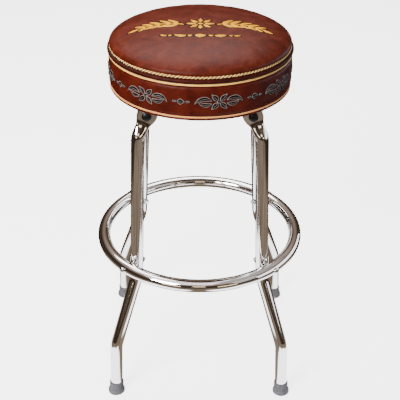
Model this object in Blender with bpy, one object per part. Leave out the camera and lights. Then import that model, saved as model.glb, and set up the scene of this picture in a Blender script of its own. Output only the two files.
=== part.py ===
"""Swivel bar stool: four chromed tube legs, a foot ring and a round padded seat.

Metres, +Z up. The origin is on the floor under the middle of the seat and the
front of the stool faces -Y. The seat turns on a ball race about the Z axis.
"""
import math

import bmesh
import bpy
from mathutils import Matrix, Vector

# Clearances
GAP = 0.0003
CUT_OVERRUN = 0.003
WELD_SHARE = 0.01

# Leg tube
TUBE_RADIUS = 0.0127
TUBE_WALL = 0.0015

# Leg centre line, from the floor up: foot, ankle bend, knee bend, shoulder bend
FOOT_CIRCLE = 0.2465
ANKLE_CIRCLE = 0.2404
ANKLE_HEIGHT = 0.121
KNEE_CIRCLE = 0.1784
KNEE_HEIGHT = 0.2675
SHOULDER_X = 0.1162
SHOULDER_Y = 0.1150
ANKLE_BEND_RADIUS = 0.055
KNEE_BEND_RADIUS = 0.075
SHOULDER_BEND_RADIUS = 0.045
FRONT_FOOT_BEARING = math.radians(45.5)
REAR_FOOT_BEARING = math.radians(47.8)

# Crushed leg top and its bolt
LEG_BOLT_HEIGHT = 0.6215
SHOULDER_BELOW_BOLT = 0.0435
TIP_ABOVE_BOLT = 0.0135
TOP_LEAN = math.radians(22.5)
FLAT_LENGTH = 0.0255
CRUSH_LENGTH = 0.036
FULL_WIDTH_LENGTH = 0.013
WIDENING_LENGTH = 0.026
TIP_CORNER = 0.010
CRUSH_STATION_SHARES = (1.0, 0.75, 0.5, 0.25, 0.0)
TIP_STATION_SHARES = (1.0, 0.45, 0.12, 0.0)

# Foot caps
CAP_SOLE = 0.006
CAP_HEIGHT = 0.026
CAP_WALL = 0.0016
CAP_FLARE = 0.0029
CAP_FLARE_HEIGHT = 0.0085
CAP_FLARE_SHARES = ((1.0, 0.5), (0.35, 0.8), (0.0, 1.0))
CAP_GROOVE = 0.0006
CAP_GROOVE_PITCH = 0.0052
CAP_GROOVE_COUNT = 2
CAP_GROOVE_SHARE = 0.25

# Foot ring
RING_HEIGHT = 0.300
RING_TUBE_RADIUS = 0.0127
RING_TUBE_WALL = 0.0015

# Ring bolts
RING_BOLT_RADIUS = 0.003
RING_BOLT_HEAD_RADIUS = 0.007
RING_BOLT_HEAD_HEIGHT = 0.0038
RING_NUT_ACROSS = 0.010
RING_NUT_HEIGHT = 0.005
RING_NUT_FLANGE_RADIUS = 0.0066
NUT_FLANGE_THICKNESS = 0.0014
BOLT_END = 0.0025
HEAD_EDGE_SHARE = 0.25

# Leg bolts
LEG_BOLT_RADIUS = 0.00475
LEG_BOLT_HEAD_RADIUS = 0.0092
LEG_BOLT_HEAD_HEIGHT = 0.0052
LEG_NUT_ACROSS = 0.0143
LEG_NUT_HEIGHT = 0.008
LEG_NUT_FLANGE_RADIUS = 0.0088

# Leg bracket
BRACKET_THICKNESS = 0.0028
BRACKET_ABOVE_BOLT = 0.0134
LUG_WIDTH = 0.034
LUG_THICKNESS = 0.003
LUG_BELOW_BOLT = 0.0085
LUG_CORNER = 0.007
LUG_BEND_RADIUS = 0.0022
LUG_BEND_STEPS = 3
FRONT_WAIST = 0.070
SIDE_WAIST = 0.066
ARM_SHOULDER = 0.016
BEAD_RADIUS = 0.0032
BEAD_START = 0.070
BEAD_END = 0.125
BEAD_DROP = 0.0018

# Swivel
UPPER_PLATE_THICKNESS = 0.0032
RACE_SPACE = 0.0046
RACE_CIRCLE = 0.042
BALL_RADIUS = 0.0035
BALL_COUNT = 12
UPPER_PLATE_HALF = 0.072
UPPER_PLATE_CORNER = 0.018
CAGE_HALF_WIDTH = 0.0055
CAGE_THICKNESS = 0.0012
PIVOT_RADIUS = 0.006
PIVOT_BORE = 0.0032
PIVOT_HEAD_RADIUS = 0.0105
PIVOT_HEAD_HEIGHT = 0.0025
PIVOT_FACE_SHARE = 0.85

# Seat board and its fasteners
BOARD_RADIUS = 0.169
BOARD_THICKNESS = 0.012
BOARD_RECESS_RADIUS = 0.0135
BOARD_RECESS_DEPTH = 0.0045
SCREW_DISTANCE = 0.056
SCREW_RADIUS = 0.003
SCREW_HEAD_RADIUS = 0.006
SCREW_HEAD_HEIGHT = 0.0034
TEE_FLANGE_RADIUS = 0.0095
TEE_FLANGE_THICKNESS = 0.0012
TEE_BARREL_RADIUS = 0.0046
TEE_BARREL_LENGTH = 0.0085

# Cushion: heights are above the underside of the board
SEAT_DEPTH = 0.119
VINYL = 0.0015
LIP_WIDTH = 0.024
LIP_CORNER = 0.002
LIP_STANDOFF = 0.0052
LOWER_CORD_HEIGHT = 0.0042
LOWER_CORD_RADIUS = 0.0016
MIDDLE_CORD_HEIGHT = 0.0657
MIDDLE_CORD_RADIUS = 0.0018
MIDDLE_CORD_STANDOFF = 0.0037
UPPER_CORD_HEIGHT = 0.0793
UPPER_CORD_RADIUS = 0.0022
UPPER_CORD_STANDOFF = 0.0013
BAND_STANDOFF = 0.0048
BAND_BULGE = 0.0030
BAND_PROFILE_SHARES = (
    (0.0, 0.0), (0.04, 0.63), (0.12, 0.97), (0.26, 1.0), (0.5, 0.87), (0.76, 0.8), (0.93, 0.67), (1.0, 0.23),
)
STRIP_STANDOFF = 0.0028
STRIP_THICKNESS = 0.0023
STRIP_WELT = 0.0049
STRIP_PROFILE_SHARES = ((0.0, 0.0), (0.14, 0.62), (0.4, 0.95), (0.66, 1.0), (0.88, 0.66), (1.0, 0.0))
CROWN_OVERHANG = 0.003
CROWN_TUCK = 0.0015

# How finely round shapes are divided
SEAT_STEPS = 32
CORD_SIDES = 6
CROWN_STEPS = 7
TUBE_SIDES = 12
BORE_SIDES = 8
BEND_STEPS = 3
RING_STEPS = 40
RING_SIDES = 10
RING_BORE_STEPS = 20
RING_BORE_SIDES = 6
CAP_STEPS = 14
BOLT_STEPS = 12
DOME_STEPS = 3
HEXAGON_SIDES = 6
SMALL_SIDES = 8
BALL_SUBDIVISION_STEPS = 2
SCALLOP_STEPS = 6
CORNER_STEPS = 3
RACE_STEPS = 24
TRACK_SIDES = 8
POCKET_SIDES = 8
SMOOTH_ANGLE = math.radians(35)

# Heights that follow
SHOULDER_HEIGHT = LEG_BOLT_HEIGHT - SHOULDER_BELOW_BOLT
TIP_HEIGHT = LEG_BOLT_HEIGHT + TIP_ABOVE_BOLT
LEG_BOLT_X = SHOULDER_X - SHOULDER_BELOW_BOLT * math.tan(TOP_LEAN)
BRACKET_TOP = LEG_BOLT_HEIGHT + BRACKET_ABOVE_BOLT
BRACKET_BOTTOM = BRACKET_TOP - BRACKET_THICKNESS
UPPER_PLATE_BOTTOM = BRACKET_TOP + RACE_SPACE
UPPER_PLATE_TOP = UPPER_PLATE_BOTTOM + UPPER_PLATE_THICKNESS
RACE_HEIGHT = (BRACKET_TOP + UPPER_PLATE_BOTTOM) / 2
BOARD_BOTTOM = UPPER_PLATE_TOP + GAP
BOARD_TOP = BOARD_BOTTOM + BOARD_THICKNESS
SEAT_TOP = BOARD_BOTTOM + SEAT_DEPTH

# Sizes that follow
CAP_OUTER_RADIUS = TUBE_RADIUS + GAP + CAP_WALL
LUG_FACE_Y = SHOULDER_Y - TUBE_WALL - GAP
FLAT_HALF_WIDTH = math.pi * TUBE_RADIUS / 2 - (math.pi / 2 - 1) * TUBE_WALL
LIP_INNER_RADIUS = BOARD_RADIUS - LIP_WIDTH
LIP_RADIUS = BOARD_RADIUS + LIP_STANDOFF
BAND_GROOVE_RADIUS = BOARD_RADIUS + GAP + VINYL
BAND_RADIUS = BOARD_RADIUS + BAND_STANDOFF
STRIP_RADIUS = BOARD_RADIUS + STRIP_STANDOFF
UPPER_CORD_CIRCLE = BOARD_RADIUS + UPPER_CORD_STANDOFF
CROWN_RADIUS = BOARD_RADIUS + CROWN_OVERHANG
LOWER_CORD_CIRCLE = BAND_GROOVE_RADIUS + GAP + LOWER_CORD_RADIUS
MIDDLE_CORD_CIRCLE = BOARD_RADIUS + MIDDLE_CORD_STANDOFF
FOAM_NECK_RADIUS = UPPER_CORD_CIRCLE - UPPER_CORD_RADIUS - GAP
LOWER_CORD_Z = BOARD_BOTTOM + LOWER_CORD_HEIGHT
MIDDLE_CORD_Z = BOARD_BOTTOM + MIDDLE_CORD_HEIGHT
UPPER_CORD_Z = BOARD_BOTTOM + UPPER_CORD_HEIGHT
CROWN_BOTTOM = UPPER_CORD_Z + UPPER_CORD_RADIUS + GAP
CROWN_WIDEST = CROWN_BOTTOM + CROWN_TUCK
CROWN_RISE = SEAT_TOP - CROWN_WIDEST

LEG_CORNERS = {
    "front_left": (-1, -1, FRONT_FOOT_BEARING),
    "front_right": (1, -1, FRONT_FOOT_BEARING),
    "rear_left": (-1, 1, REAR_FOOT_BEARING),
    "rear_right": (1, 1, REAR_FOOT_BEARING),
}


def clear_scene():
    for old in list(bpy.data.objects):
        bpy.data.objects.remove(old, do_unlink=True)


def make_material(name, colour, roughness, metallic):
    material = bpy.data.materials.new(name)
    material.use_nodes = True
    shader = material.node_tree.nodes["Principled BSDF"]
    shader.inputs["Base Color"].default_value = (*colour, 1.0)
    shader.inputs["Roughness"].default_value = roughness
    shader.inputs["Metallic"].default_value = metallic
    material.diffuse_color = (*colour, 1.0)
    return material


def finish_object(bm, name, material):
    """Turn a bmesh into a named object with its normals outward and smooth round faces."""
    bmesh.ops.remove_doubles(bm, verts=bm.verts[:], dist=GAP * WELD_SHARE)
    bmesh.ops.recalc_face_normals(bm, faces=bm.faces[:])
    mesh = bpy.data.meshes.new(name)
    bm.to_mesh(mesh)
    bm.free()
    mesh.shade_smooth()
    mesh.set_sharp_from_angle(angle=SMOOTH_ANGLE)
    result = bpy.data.objects.new(name, mesh)
    bpy.context.scene.collection.objects.link(result)
    if material is not None:
        mesh.materials.append(material)
    return result


def cut(target, bm, name, operation="DIFFERENCE"):
    """Take a bmesh shape out of an object, or add it, with a live Boolean."""
    tool = finish_object(bm, name, None)
    tool.hide_render = True
    tool.display_type = "WIRE"
    boolean = target.modifiers.new(name, "BOOLEAN")
    boolean.operation = operation
    boolean.solver = "EXACT"
    boolean.object = tool


def around(radius, sides):
    """Corner radius of a polygon whose flats lie at the given radius."""
    return radius / math.cos(math.pi / sides)


def lathe(bm, profile, steps, closed=True):
    """Turn a profile of (radius, height) points round the Z axis."""
    verts = [bm.verts.new((radius, 0, height)) for radius, height in profile]
    edges = [bm.edges.new(pair) for pair in zip(verts, verts[1:])]
    if closed:
        edges.append(bm.edges.new((verts[-1], verts[0])))
    bmesh.ops.spin(
        bm, geom=verts + edges, cent=(0, 0, 0), axis=(0, 0, 1),
        angle=math.tau, steps=steps, use_merge=True,
    )


def turned(profile, steps, closed=True):
    bm = bmesh.new()
    lathe(bm, profile, steps, closed)
    bmesh.ops.remove_doubles(bm, verts=bm.verts[:], dist=GAP * WELD_SHARE)
    return bm


def circle_profile(radius, centre_radius, centre_height, sides, start=0.0):
    """Points of a cord's or a ball track's round section."""
    turn = math.tau / sides
    return [
        (
            centre_radius + radius * math.cos(start + turn * index),
            centre_height + radius * math.sin(start + turn * index),
        )
        for index in range(sides)
    ]


def rod(radius, bottom, top, sides):
    """A plain round bar along Z."""
    return turned([(0, bottom), (radius, bottom), (radius, top), (0, top)], sides, closed=False)


def aim(origin, direction):
    """Matrix that stands a shape made along Z at a place, pointing along a direction."""
    turn = Vector((0, 0, 1)).rotation_difference(Vector(direction))
    return Matrix.Translation(origin) @ turn.to_matrix().to_4x4()


def moved(bm, matrix):
    bmesh.ops.transform(bm, matrix=matrix, verts=bm.verts[:])
    return bm


def gathered(shapes):
    """Put several closed shapes into one bmesh, each still its own body."""
    whole = bmesh.new()
    for shape in shapes:
        piece = bpy.data.meshes.new("piece")
        bmesh.ops.recalc_face_normals(shape, faces=shape.faces[:])
        shape.to_mesh(piece)
        shape.free()
        whole.from_mesh(piece)
        bpy.data.meshes.remove(piece)
    return whole


def on_bearing(radius, bearing, side_x, side_y, height):
    """A place given by its distance from the middle and its angle from the front."""
    return Vector((side_x * radius * math.sin(bearing), side_y * radius * math.cos(bearing), height))


def leg_corners(side_x, side_y, bearing):
    """The leg's centre line as corner points, foot first."""
    ankle = on_bearing(ANKLE_CIRCLE, bearing, side_x, side_y, ANKLE_HEIGHT)
    floor = on_bearing(FOOT_CIRCLE, bearing, side_x, side_y, 0)
    foot = floor + (ankle - floor) * ((CAP_SOLE + GAP) / ANKLE_HEIGHT)
    knee = on_bearing(KNEE_CIRCLE, bearing, side_x, side_y, KNEE_HEIGHT)
    shoulder = Vector((side_x * SHOULDER_X, side_y * SHOULDER_Y, SHOULDER_HEIGHT))
    rise = TIP_HEIGHT - SHOULDER_HEIGHT
    tip = shoulder + Vector((-side_x * rise * math.tan(TOP_LEAN), 0, rise))
    return [foot, ankle, knee, shoulder, tip]


def rounded_path(corners, radii):
    """Points of straight runs joined by round bends."""
    points = [corners[0]]
    for before, corner, after, radius in zip(corners, corners[1:], corners[2:], radii):
        into = (corner - before).normalized()
        away = (after - corner).normalized()
        turn = into.angle(away)
        start = corner - into * (radius * math.tan(turn / 2))
        centre = corner + (away - into).normalized() * (radius / math.cos(turn / 2))
        axis = into.cross(away).normalized()
        for step in range(BEND_STEPS + 1):
            swing = Matrix.Rotation(turn * step / BEND_STEPS, 3, axis)
            points.append(centre + swing @ (start - centre))
    points.append(corners[-1])
    return points


def leg_path(side_x, side_y, bearing):
    """The leg's centre line with its bends rounded, foot first."""
    corners = leg_corners(side_x, side_y, bearing)
    return rounded_path(corners, (ANKLE_BEND_RADIUS, KNEE_BEND_RADIUS, SHOULDER_BEND_RADIUS))


def ring_stretch(side_x, side_y, bearing):
    """The two points of the leg's centre line between which it passes the foot ring's height."""
    path = leg_path(side_x, side_y, bearing)
    passed = [index for index, point in enumerate(path[:-1]) if point.z <= RING_HEIGHT]
    return path[passed[-1]], path[passed[-1] + 1]


def ring_crossing(side_x, side_y, bearing):
    """Where the leg's centre line passes the height of the foot ring."""
    below, above = ring_stretch(side_x, side_y, bearing)
    return below.lerp(above, (RING_HEIGHT - below.z) / (above.z - below.z))


def leg_lean(side_x, side_y, bearing):
    """How far the leg moves sideways for each unit that it rises past the foot ring."""
    below, above = ring_stretch(side_x, side_y, bearing)
    run = above - below
    return math.hypot(run.x, run.y) / run.z


def level_reach(side_x, side_y, bearing, thickness):
    """Level distance that spans a thickness measured square to the leaning leg."""
    return thickness * math.hypot(1, leg_lean(side_x, side_y, bearing))


def eased(distance, start, length):
    """Nought before start, one past start and length, and a smooth rise between."""
    share = min(max((distance - start) / length, 0), 1)
    return share * share * (3 - 2 * share)


def crushed_half_thickness(distance):
    """Half the tube's thickness at a distance from its tip: two walls, then the full round."""
    return TUBE_WALL + (TUBE_RADIUS - TUBE_WALL) * eased(distance, FLAT_LENGTH, CRUSH_LENGTH)


def crushed_half_width(distance):
    """Half the width at a distance from the tip, with the tip's corners rounded."""
    spread = FLAT_HALF_WIDTH - TUBE_RADIUS
    half_width = FLAT_HALF_WIDTH - spread * eased(distance, FULL_WIDTH_LENGTH, WIDENING_LENGTH)
    if distance < TIP_CORNER:
        inset = TIP_CORNER - distance
        half_width -= TIP_CORNER - math.sqrt(TIP_CORNER ** 2 - inset ** 2)
    return half_width


def leg_stations(path):
    """Centre, direction and distance from the tip of each section of a leg."""
    tip = path.pop()
    run = tip - path[-1]
    marks = [FLAT_LENGTH + CRUSH_LENGTH * share for share in CRUSH_STATION_SHARES]
    marks += [(FLAT_LENGTH + FULL_WIDTH_LENGTH) / 2, FULL_WIDTH_LENGTH]
    marks += [TIP_CORNER * share for share in TIP_STATION_SHARES]
    path += [tip - run.normalized() * mark for mark in marks if mark < run.length - GAP]
    ways = [(after - before).normalized() for before, after in zip(path, path[1:])]
    directions = [ways[0]]
    directions += [(first + second).normalized() for first, second in zip(ways, ways[1:])]
    directions.append(ways[-1])
    stations = []
    for index, centre in enumerate(path):
        distance = sum((b - a).length for a, b in zip(path[index:], path[index + 1:]))
        stations.append((centre, directions[index], distance))
    return stations


def section(bm, centre, direction, half_width, half_thickness, sides):
    """One cross-section: a round that is drawn out into a flat oval across the leg."""
    thin = Vector((0, 1, 0)) - direction * direction.y
    thin.normalize()
    wide = direction.cross(thin)
    straight = half_width - half_thickness
    loop = []
    for index in range(sides):
        angle = math.tau * (index + 0.5) / sides
        across = half_thickness * math.cos(angle) + math.copysign(straight, math.cos(angle))
        loop.append(bm.verts.new(centre + wide * across + thin * (half_thickness * math.sin(angle))))
    return loop


def loft(bm, loops):
    """Skin a row of sections and close both ends."""
    for first, second in zip(loops, loops[1:]):
        for index in range(len(first)):
            following = (index + 1) % len(first)
            bm.faces.new((first[index], first[following], second[following], second[index]))
    bm.faces.new(reversed(loops[0]))
    bm.faces.new(loops[-1])


def make_leg(place, chrome):
    side_x, side_y, _ = LEG_CORNERS[place]
    stations = leg_stations(leg_path(*LEG_CORNERS[place]))
    name = "leg_" + place

    outer = bmesh.new()
    loops = []
    for centre, direction, distance in stations:
        half_thickness = crushed_half_thickness(distance)
        half_width = crushed_half_width(distance)
        loops.append(section(outer, centre, direction, half_width, half_thickness, TUBE_SIDES))
    loft(outer, loops)
    leg = finish_object(outer, name, chrome)

    bore = bmesh.new()
    bore_radius = TUBE_RADIUS - TUBE_WALL
    start, direction, _ = stations[0]
    loops = [section(bore, start - direction * CUT_OVERRUN, direction, bore_radius, bore_radius, BORE_SIDES)]
    for centre, direction, distance in stations[1:]:
        if distance > FLAT_LENGTH + CRUSH_LENGTH:
            loops.append(section(bore, centre, direction, bore_radius, bore_radius, BORE_SIDES))
    loft(bore, loops)
    cut(leg, bore, name + "_bore")

    bolt_hole = rod(around(LEG_BOLT_RADIUS + GAP, BOLT_STEPS), -CUT_OVERRUN, CUT_OVERRUN, BOLT_STEPS)
    bolt_centre = (side_x * LEG_BOLT_X, side_y * SHOULDER_Y, LEG_BOLT_HEIGHT)
    cut(leg, moved(bolt_hole, aim(bolt_centre, (0, 1, 0))), name + "_bolt_hole")

    crossing = ring_crossing(*LEG_CORNERS[place])
    reach = level_reach(*LEG_CORNERS[place], TUBE_RADIUS) + CUT_OVERRUN
    ring_hole = rod(around(RING_BOLT_RADIUS + GAP, BOLT_STEPS), -reach, reach, BOLT_STEPS)
    outward = Vector((crossing.x, crossing.y, 0))
    cut(leg, moved(ring_hole, aim(crossing, outward)), name + "_ring_hole")
    return leg


def cap_profile():
    """Outline of a foot cap along its own axis, from under the sole round to the bore."""
    bore = around(TUBE_RADIUS + GAP, CAP_STEPS)
    profile = [(0, -CUT_OVERRUN), (CAP_OUTER_RADIUS + CAP_FLARE, -CUT_OVERRUN)]
    for flare, height in CAP_FLARE_SHARES:
        profile.append((CAP_OUTER_RADIUS + CAP_FLARE * flare, CAP_FLARE_HEIGHT * height))
    for groove in range(CAP_GROOVE_COUNT, 0, -1):
        middle = CAP_HEIGHT - groove * CAP_GROOVE_PITCH
        slope = CAP_GROOVE_PITCH * CAP_GROOVE_SHARE
        profile.append((CAP_OUTER_RADIUS - CAP_GROOVE, middle - slope))
        profile.append((CAP_OUTER_RADIUS, middle + slope))
    profile.append((CAP_OUTER_RADIUS - CAP_GROOVE, CAP_HEIGHT))
    profile.append((bore, CAP_HEIGHT))
    profile.append((bore, CAP_SOLE))
    profile.append((0, CAP_SOLE))
    return profile


def make_foot_cap(place, rubber):
    """A ribbed rubber cap in line with its leg, with its sole cut level with the floor."""
    foot, ankle = leg_corners(*LEG_CORNERS[place])[:2]
    direction = (ankle - foot).normalized()
    floor = foot - direction * (foot.z / direction.z)
    bm = moved(turned(cap_profile(), CAP_STEPS, closed=False), aim(floor, direction))
    bmesh.ops.bisect_plane(
        bm, geom=bm.verts[:] + bm.edges[:] + bm.faces[:],
        plane_co=(0, 0, 0), plane_no=(0, 0, -1), clear_outer=True,
    )
    rim = [edge for edge in bm.edges if edge.is_boundary]
    bmesh.ops.holes_fill(bm, edges=rim)
    return finish_object(bm, "foot_cap_" + place, rubber)


def ring_radius():
    """Centre line of the foot ring, which lies against the outside of the legs."""
    radii = []
    for corner in LEG_CORNERS.values():
        crossing = ring_crossing(*corner)
        standoff = level_reach(*corner, TUBE_RADIUS + GAP + RING_TUBE_RADIUS)
        radii.append(math.hypot(crossing.x, crossing.y) + standoff)
    return max(radii)


def make_foot_ring(chrome):
    radius = ring_radius()
    outside = circle_profile(RING_TUBE_RADIUS, radius, RING_HEIGHT, RING_SIDES)
    ring = finish_object(turned(outside, RING_STEPS), "foot_ring", chrome)
    inside = circle_profile(RING_TUBE_RADIUS - RING_TUBE_WALL, radius, RING_HEIGHT, RING_BORE_SIDES)
    cut(ring, turned(inside, RING_BORE_STEPS), "foot_ring_bore")
    reach = RING_TUBE_RADIUS + CUT_OVERRUN
    for place, corner in LEG_CORNERS.items():
        crossing = ring_crossing(*corner)
        outward = Vector((crossing.x, crossing.y, 0)).normalized()
        centre = outward * radius + Vector((0, 0, RING_HEIGHT))
        hole = rod(around(RING_BOLT_RADIUS + GAP, BOLT_STEPS), -reach, reach, BOLT_STEPS)
        cut(ring, moved(hole, aim(centre, outward)), "foot_ring_hole_" + place)
    return ring


def domed_bolt(radius, length, head_radius, head_height, steps):
    """A domed bolt along Z: the underside of its head at zero, its shank below."""
    profile = [(0, -length), (radius, -length), (radius, 0), (head_radius, 0)]
    edge = head_height * HEAD_EDGE_SHARE
    profile.append((head_radius, edge))
    for step in range(1, DOME_STEPS):
        angle = math.pi / 2 * step / DOME_STEPS
        profile.append((head_radius * math.cos(angle), edge + (head_height - edge) * math.sin(angle)))
    profile.append((0, head_height))
    return turned(profile, steps, closed=False)


def flange_nut(across, bore_radius, height, flange_radius):
    """A hexagon nut along Z with a round flange, whose face lies at zero."""
    hexagon = [around(across / 2, HEXAGON_SIDES), across / 2]
    round_flange = [flange_radius, flange_radius]
    round_bore = [around(bore_radius, BOLT_STEPS)] * 2
    levels = [
        (round_bore, 0), (round_flange, 0), (round_flange, NUT_FLANGE_THICKNESS),
        (hexagon, NUT_FLANGE_THICKNESS), (hexagon, height), (round_bore, height),
    ]
    bm = bmesh.new()
    loops = []
    for radii, level in levels:
        loop = []
        for index in range(BOLT_STEPS):
            angle = math.tau * index / BOLT_STEPS
            reach = radii[index % 2]
            loop.append(bm.verts.new((reach * math.cos(angle), reach * math.sin(angle), level)))
        loops.append(loop)
    for first, second in zip(loops, loops[1:] + loops[:1]):
        for index in range(BOLT_STEPS):
            following = (index + 1) % BOLT_STEPS
            bm.faces.new((first[index], first[following], second[following], second[index]))
    return bm


def make_ring_fasteners(chrome, zinc):
    """Domed bolts from outside the ring through each leg, a flange nut inside it."""
    radius = ring_radius()
    for place, corner in LEG_CORNERS.items():
        crossing = ring_crossing(*corner)
        leg_circle = math.hypot(crossing.x, crossing.y)
        outward = Vector((crossing.x, crossing.y, 0)).normalized()
        base = Vector((0, 0, RING_HEIGHT))
        head_seat = radius + RING_TUBE_RADIUS + GAP
        slant = RING_NUT_FLANGE_RADIUS * leg_lean(*corner)
        nut_seat = leg_circle - level_reach(*corner, TUBE_RADIUS) - slant - GAP
        length = head_seat - nut_seat + RING_NUT_HEIGHT + BOLT_END
        bolt = domed_bolt(
            RING_BOLT_RADIUS, length, RING_BOLT_HEAD_RADIUS, RING_BOLT_HEAD_HEIGHT, BOLT_STEPS,
        )
        finish_object(moved(bolt, aim(base + outward * head_seat, outward)), "ring_bolt_" + place, chrome)
        nut = flange_nut(RING_NUT_ACROSS, RING_BOLT_RADIUS + GAP, RING_NUT_HEIGHT, RING_NUT_FLANGE_RADIUS)
        finish_object(moved(nut, aim(base + outward * nut_seat, -outward)), "ring_nut_" + place, zinc)


def make_leg_fasteners(black, zinc):
    """Black domed bolts through the crushed leg tops and the bracket's lugs."""
    for place, (side_x, side_y, _) in LEG_CORNERS.items():
        outward = Vector((0, side_y, 0))
        base = Vector((side_x * LEG_BOLT_X, 0, LEG_BOLT_HEIGHT))
        head_seat = SHOULDER_Y + TUBE_WALL + GAP
        nut_seat = LUG_FACE_Y - LUG_THICKNESS - GAP
        length = head_seat - nut_seat + LEG_NUT_HEIGHT + BOLT_END
        bolt = domed_bolt(
            LEG_BOLT_RADIUS, length, LEG_BOLT_HEAD_RADIUS, LEG_BOLT_HEAD_HEIGHT, BOLT_STEPS,
        )
        finish_object(moved(bolt, aim(base + outward * head_seat, outward)), "leg_bolt_" + place, black)
        nut = flange_nut(LEG_NUT_ACROSS, LEG_BOLT_RADIUS + GAP, LEG_NUT_HEIGHT, LEG_NUT_FLANGE_RADIUS)
        finish_object(moved(nut, aim(base + outward * nut_seat, -outward)), "leg_nut_" + place, zinc)


def scallop(start, middle, end, steps):
    """Points strictly between start and end on the circle through three points."""
    start, middle, end = Vector(start), Vector(middle), Vector(end)
    chord = (end - start).length
    foot = (start + end) / 2
    depth = (middle - foot).length
    radius = (chord * chord / 4 + depth * depth) / (2 * depth)
    centre = middle + (foot - middle).normalized() * radius
    first = start - centre
    sweep = first.angle_signed(end - centre)
    points = []
    for step in range(1, steps):
        swing = Matrix.Rotation(-sweep * step / steps, 2)
        points.append(centre + swing @ first)
    return points


def bracket_outline():
    """Plan of the bracket: four arms ending square at the front and rear, with scalloped sides."""
    arm_end = LUG_FACE_Y - LUG_THICKNESS - LUG_BEND_RADIUS
    inner = LEG_BOLT_X - LUG_WIDTH / 2
    outer = LEG_BOLT_X + LUG_WIDTH / 2
    root = arm_end - ARM_SHOULDER
    front = [(-inner, -arm_end)]
    front += scallop((-inner, -arm_end), (0, -FRONT_WAIST), (inner, -arm_end), SCALLOP_STEPS)
    front += [(inner, -arm_end), (outer, -arm_end), (outer, -root)]
    side = scallop((outer, -root), (SIDE_WAIST, 0), (outer, root), SCALLOP_STEPS)
    half = front + side + [(outer, root), (outer, arm_end)]
    return half + [(-x, -y) for x, y in half]


def drawn_out(bm, face):
    """Extrude one face of a closed shape and give back the face that now ends it."""
    grown = bmesh.ops.extrude_face_region(bm, geom=[face])["geom"]
    bmesh.ops.delete(bm, geom=[face], context="FACES_ONLY")
    return [item for item in grown if isinstance(item, bmesh.types.BMFace)][0]


def bend_face_down(bm, face, side_y):
    """Carry the end of an arm round the bend and down to make its lug."""
    pivot_y = side_y * (LUG_FACE_Y - LUG_THICKNESS - LUG_BEND_RADIUS)
    pivot = Vector((0, pivot_y, BRACKET_BOTTOM - LUG_BEND_RADIUS))
    swing = Matrix.Rotation(-side_y * math.pi / 2 / LUG_BEND_STEPS, 3, "X")
    for _ in range(LUG_BEND_STEPS):
        face = drawn_out(bm, face)
        bmesh.ops.rotate(bm, verts=face.verts[:], cent=pivot, matrix=swing)
    drop = BRACKET_BOTTOM - LUG_BEND_RADIUS - (LEG_BOLT_HEIGHT - LUG_BELOW_BOLT)
    face = drawn_out(bm, face)
    bmesh.ops.translate(bm, verts=face.verts[:], vec=(0, 0, -drop))
    ends = [edge for edge in face.edges if abs(edge.verts[0].co.x - edge.verts[1].co.x) < GAP]
    bmesh.ops.bevel(
        bm, geom=ends, offset=LUG_CORNER, offset_type="OFFSET", segments=CORNER_STEPS,
        profile=0.5, affect="EDGES", material=-1,
    )


def track_cutter(below):
    """Ring that presses the ball track into a plate's face, under or over the balls."""
    radius = around(BALL_RADIUS + GAP, TRACK_SIDES)
    sign = -1 if below else 1
    profile = []
    for step in range(TRACK_SIDES // 2 + 1):
        angle = math.tau * step / TRACK_SIDES
        drop = sign * radius * math.sin(angle)
        profile.append((RACE_CIRCLE + radius * math.cos(angle), RACE_HEIGHT + drop))
    return turned(profile, RACE_STEPS)


def make_leg_bracket(steel):
    """Pressed spider plate with four down-turned lugs, one behind each leg top."""
    bm = bmesh.new()
    outline = [bm.verts.new((x, y, BRACKET_BOTTOM)) for x, y in bracket_outline()]
    plate = bm.faces.new(outline)
    raised = bmesh.ops.extrude_face_region(bm, geom=[plate])["geom"]
    upper = [item for item in raised if isinstance(item, bmesh.types.BMVert)]
    bmesh.ops.translate(bm, verts=upper, vec=(0, 0, BRACKET_THICKNESS))
    bm.normal_update()
    bmesh.ops.recalc_face_normals(bm, faces=bm.faces[:])
    ends = []
    for face in bm.faces:
        middle = face.calc_center_median()
        if abs(face.normal.y) > 0.99 and abs(abs(middle.x) - LEG_BOLT_X) < LUG_WIDTH / 4:
            ends.append((face, math.copysign(1, middle.y)))
    for face, side_y in ends:
        bend_face_down(bm, face, side_y)
    bracket = finish_object(bm, "leg_bracket", steel)

    bore = rod(around(PIVOT_RADIUS + GAP, BOLT_STEPS), BRACKET_BOTTOM - CUT_OVERRUN,
               BRACKET_TOP + CUT_OVERRUN, BOLT_STEPS)
    cut(bracket, bore, "leg_bracket_bore")
    cut(bracket, track_cutter(True), "leg_bracket_track")
    for index, (side_x, side_y, _) in enumerate(LEG_CORNERS.values()):
        hole = rod(around(LEG_BOLT_RADIUS + GAP, BOLT_STEPS), -LUG_THICKNESS - CUT_OVERRUN,
                   CUT_OVERRUN, BOLT_STEPS)
        centre = (side_x * LEG_BOLT_X, side_y * LUG_FACE_Y, LEG_BOLT_HEIGHT)
        cut(bracket, moved(hole, aim(centre, (0, side_y, 0))), "leg_bracket_lug_hole_%d" % index)
        reach = Vector((side_x * LEG_BOLT_X, side_y * LUG_FACE_Y, 0)).normalized()
        level = Vector((0, 0, BRACKET_BOTTOM + BEAD_RADIUS - BEAD_DROP))
        length = BEAD_END - BEAD_START
        bead = moved(rod(BEAD_RADIUS, 0, length, SMALL_SIDES), aim(level + reach * BEAD_START, reach))
        cut(bracket, bead, "leg_bracket_bead_%d" % index, "UNION")
    return bracket


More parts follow.
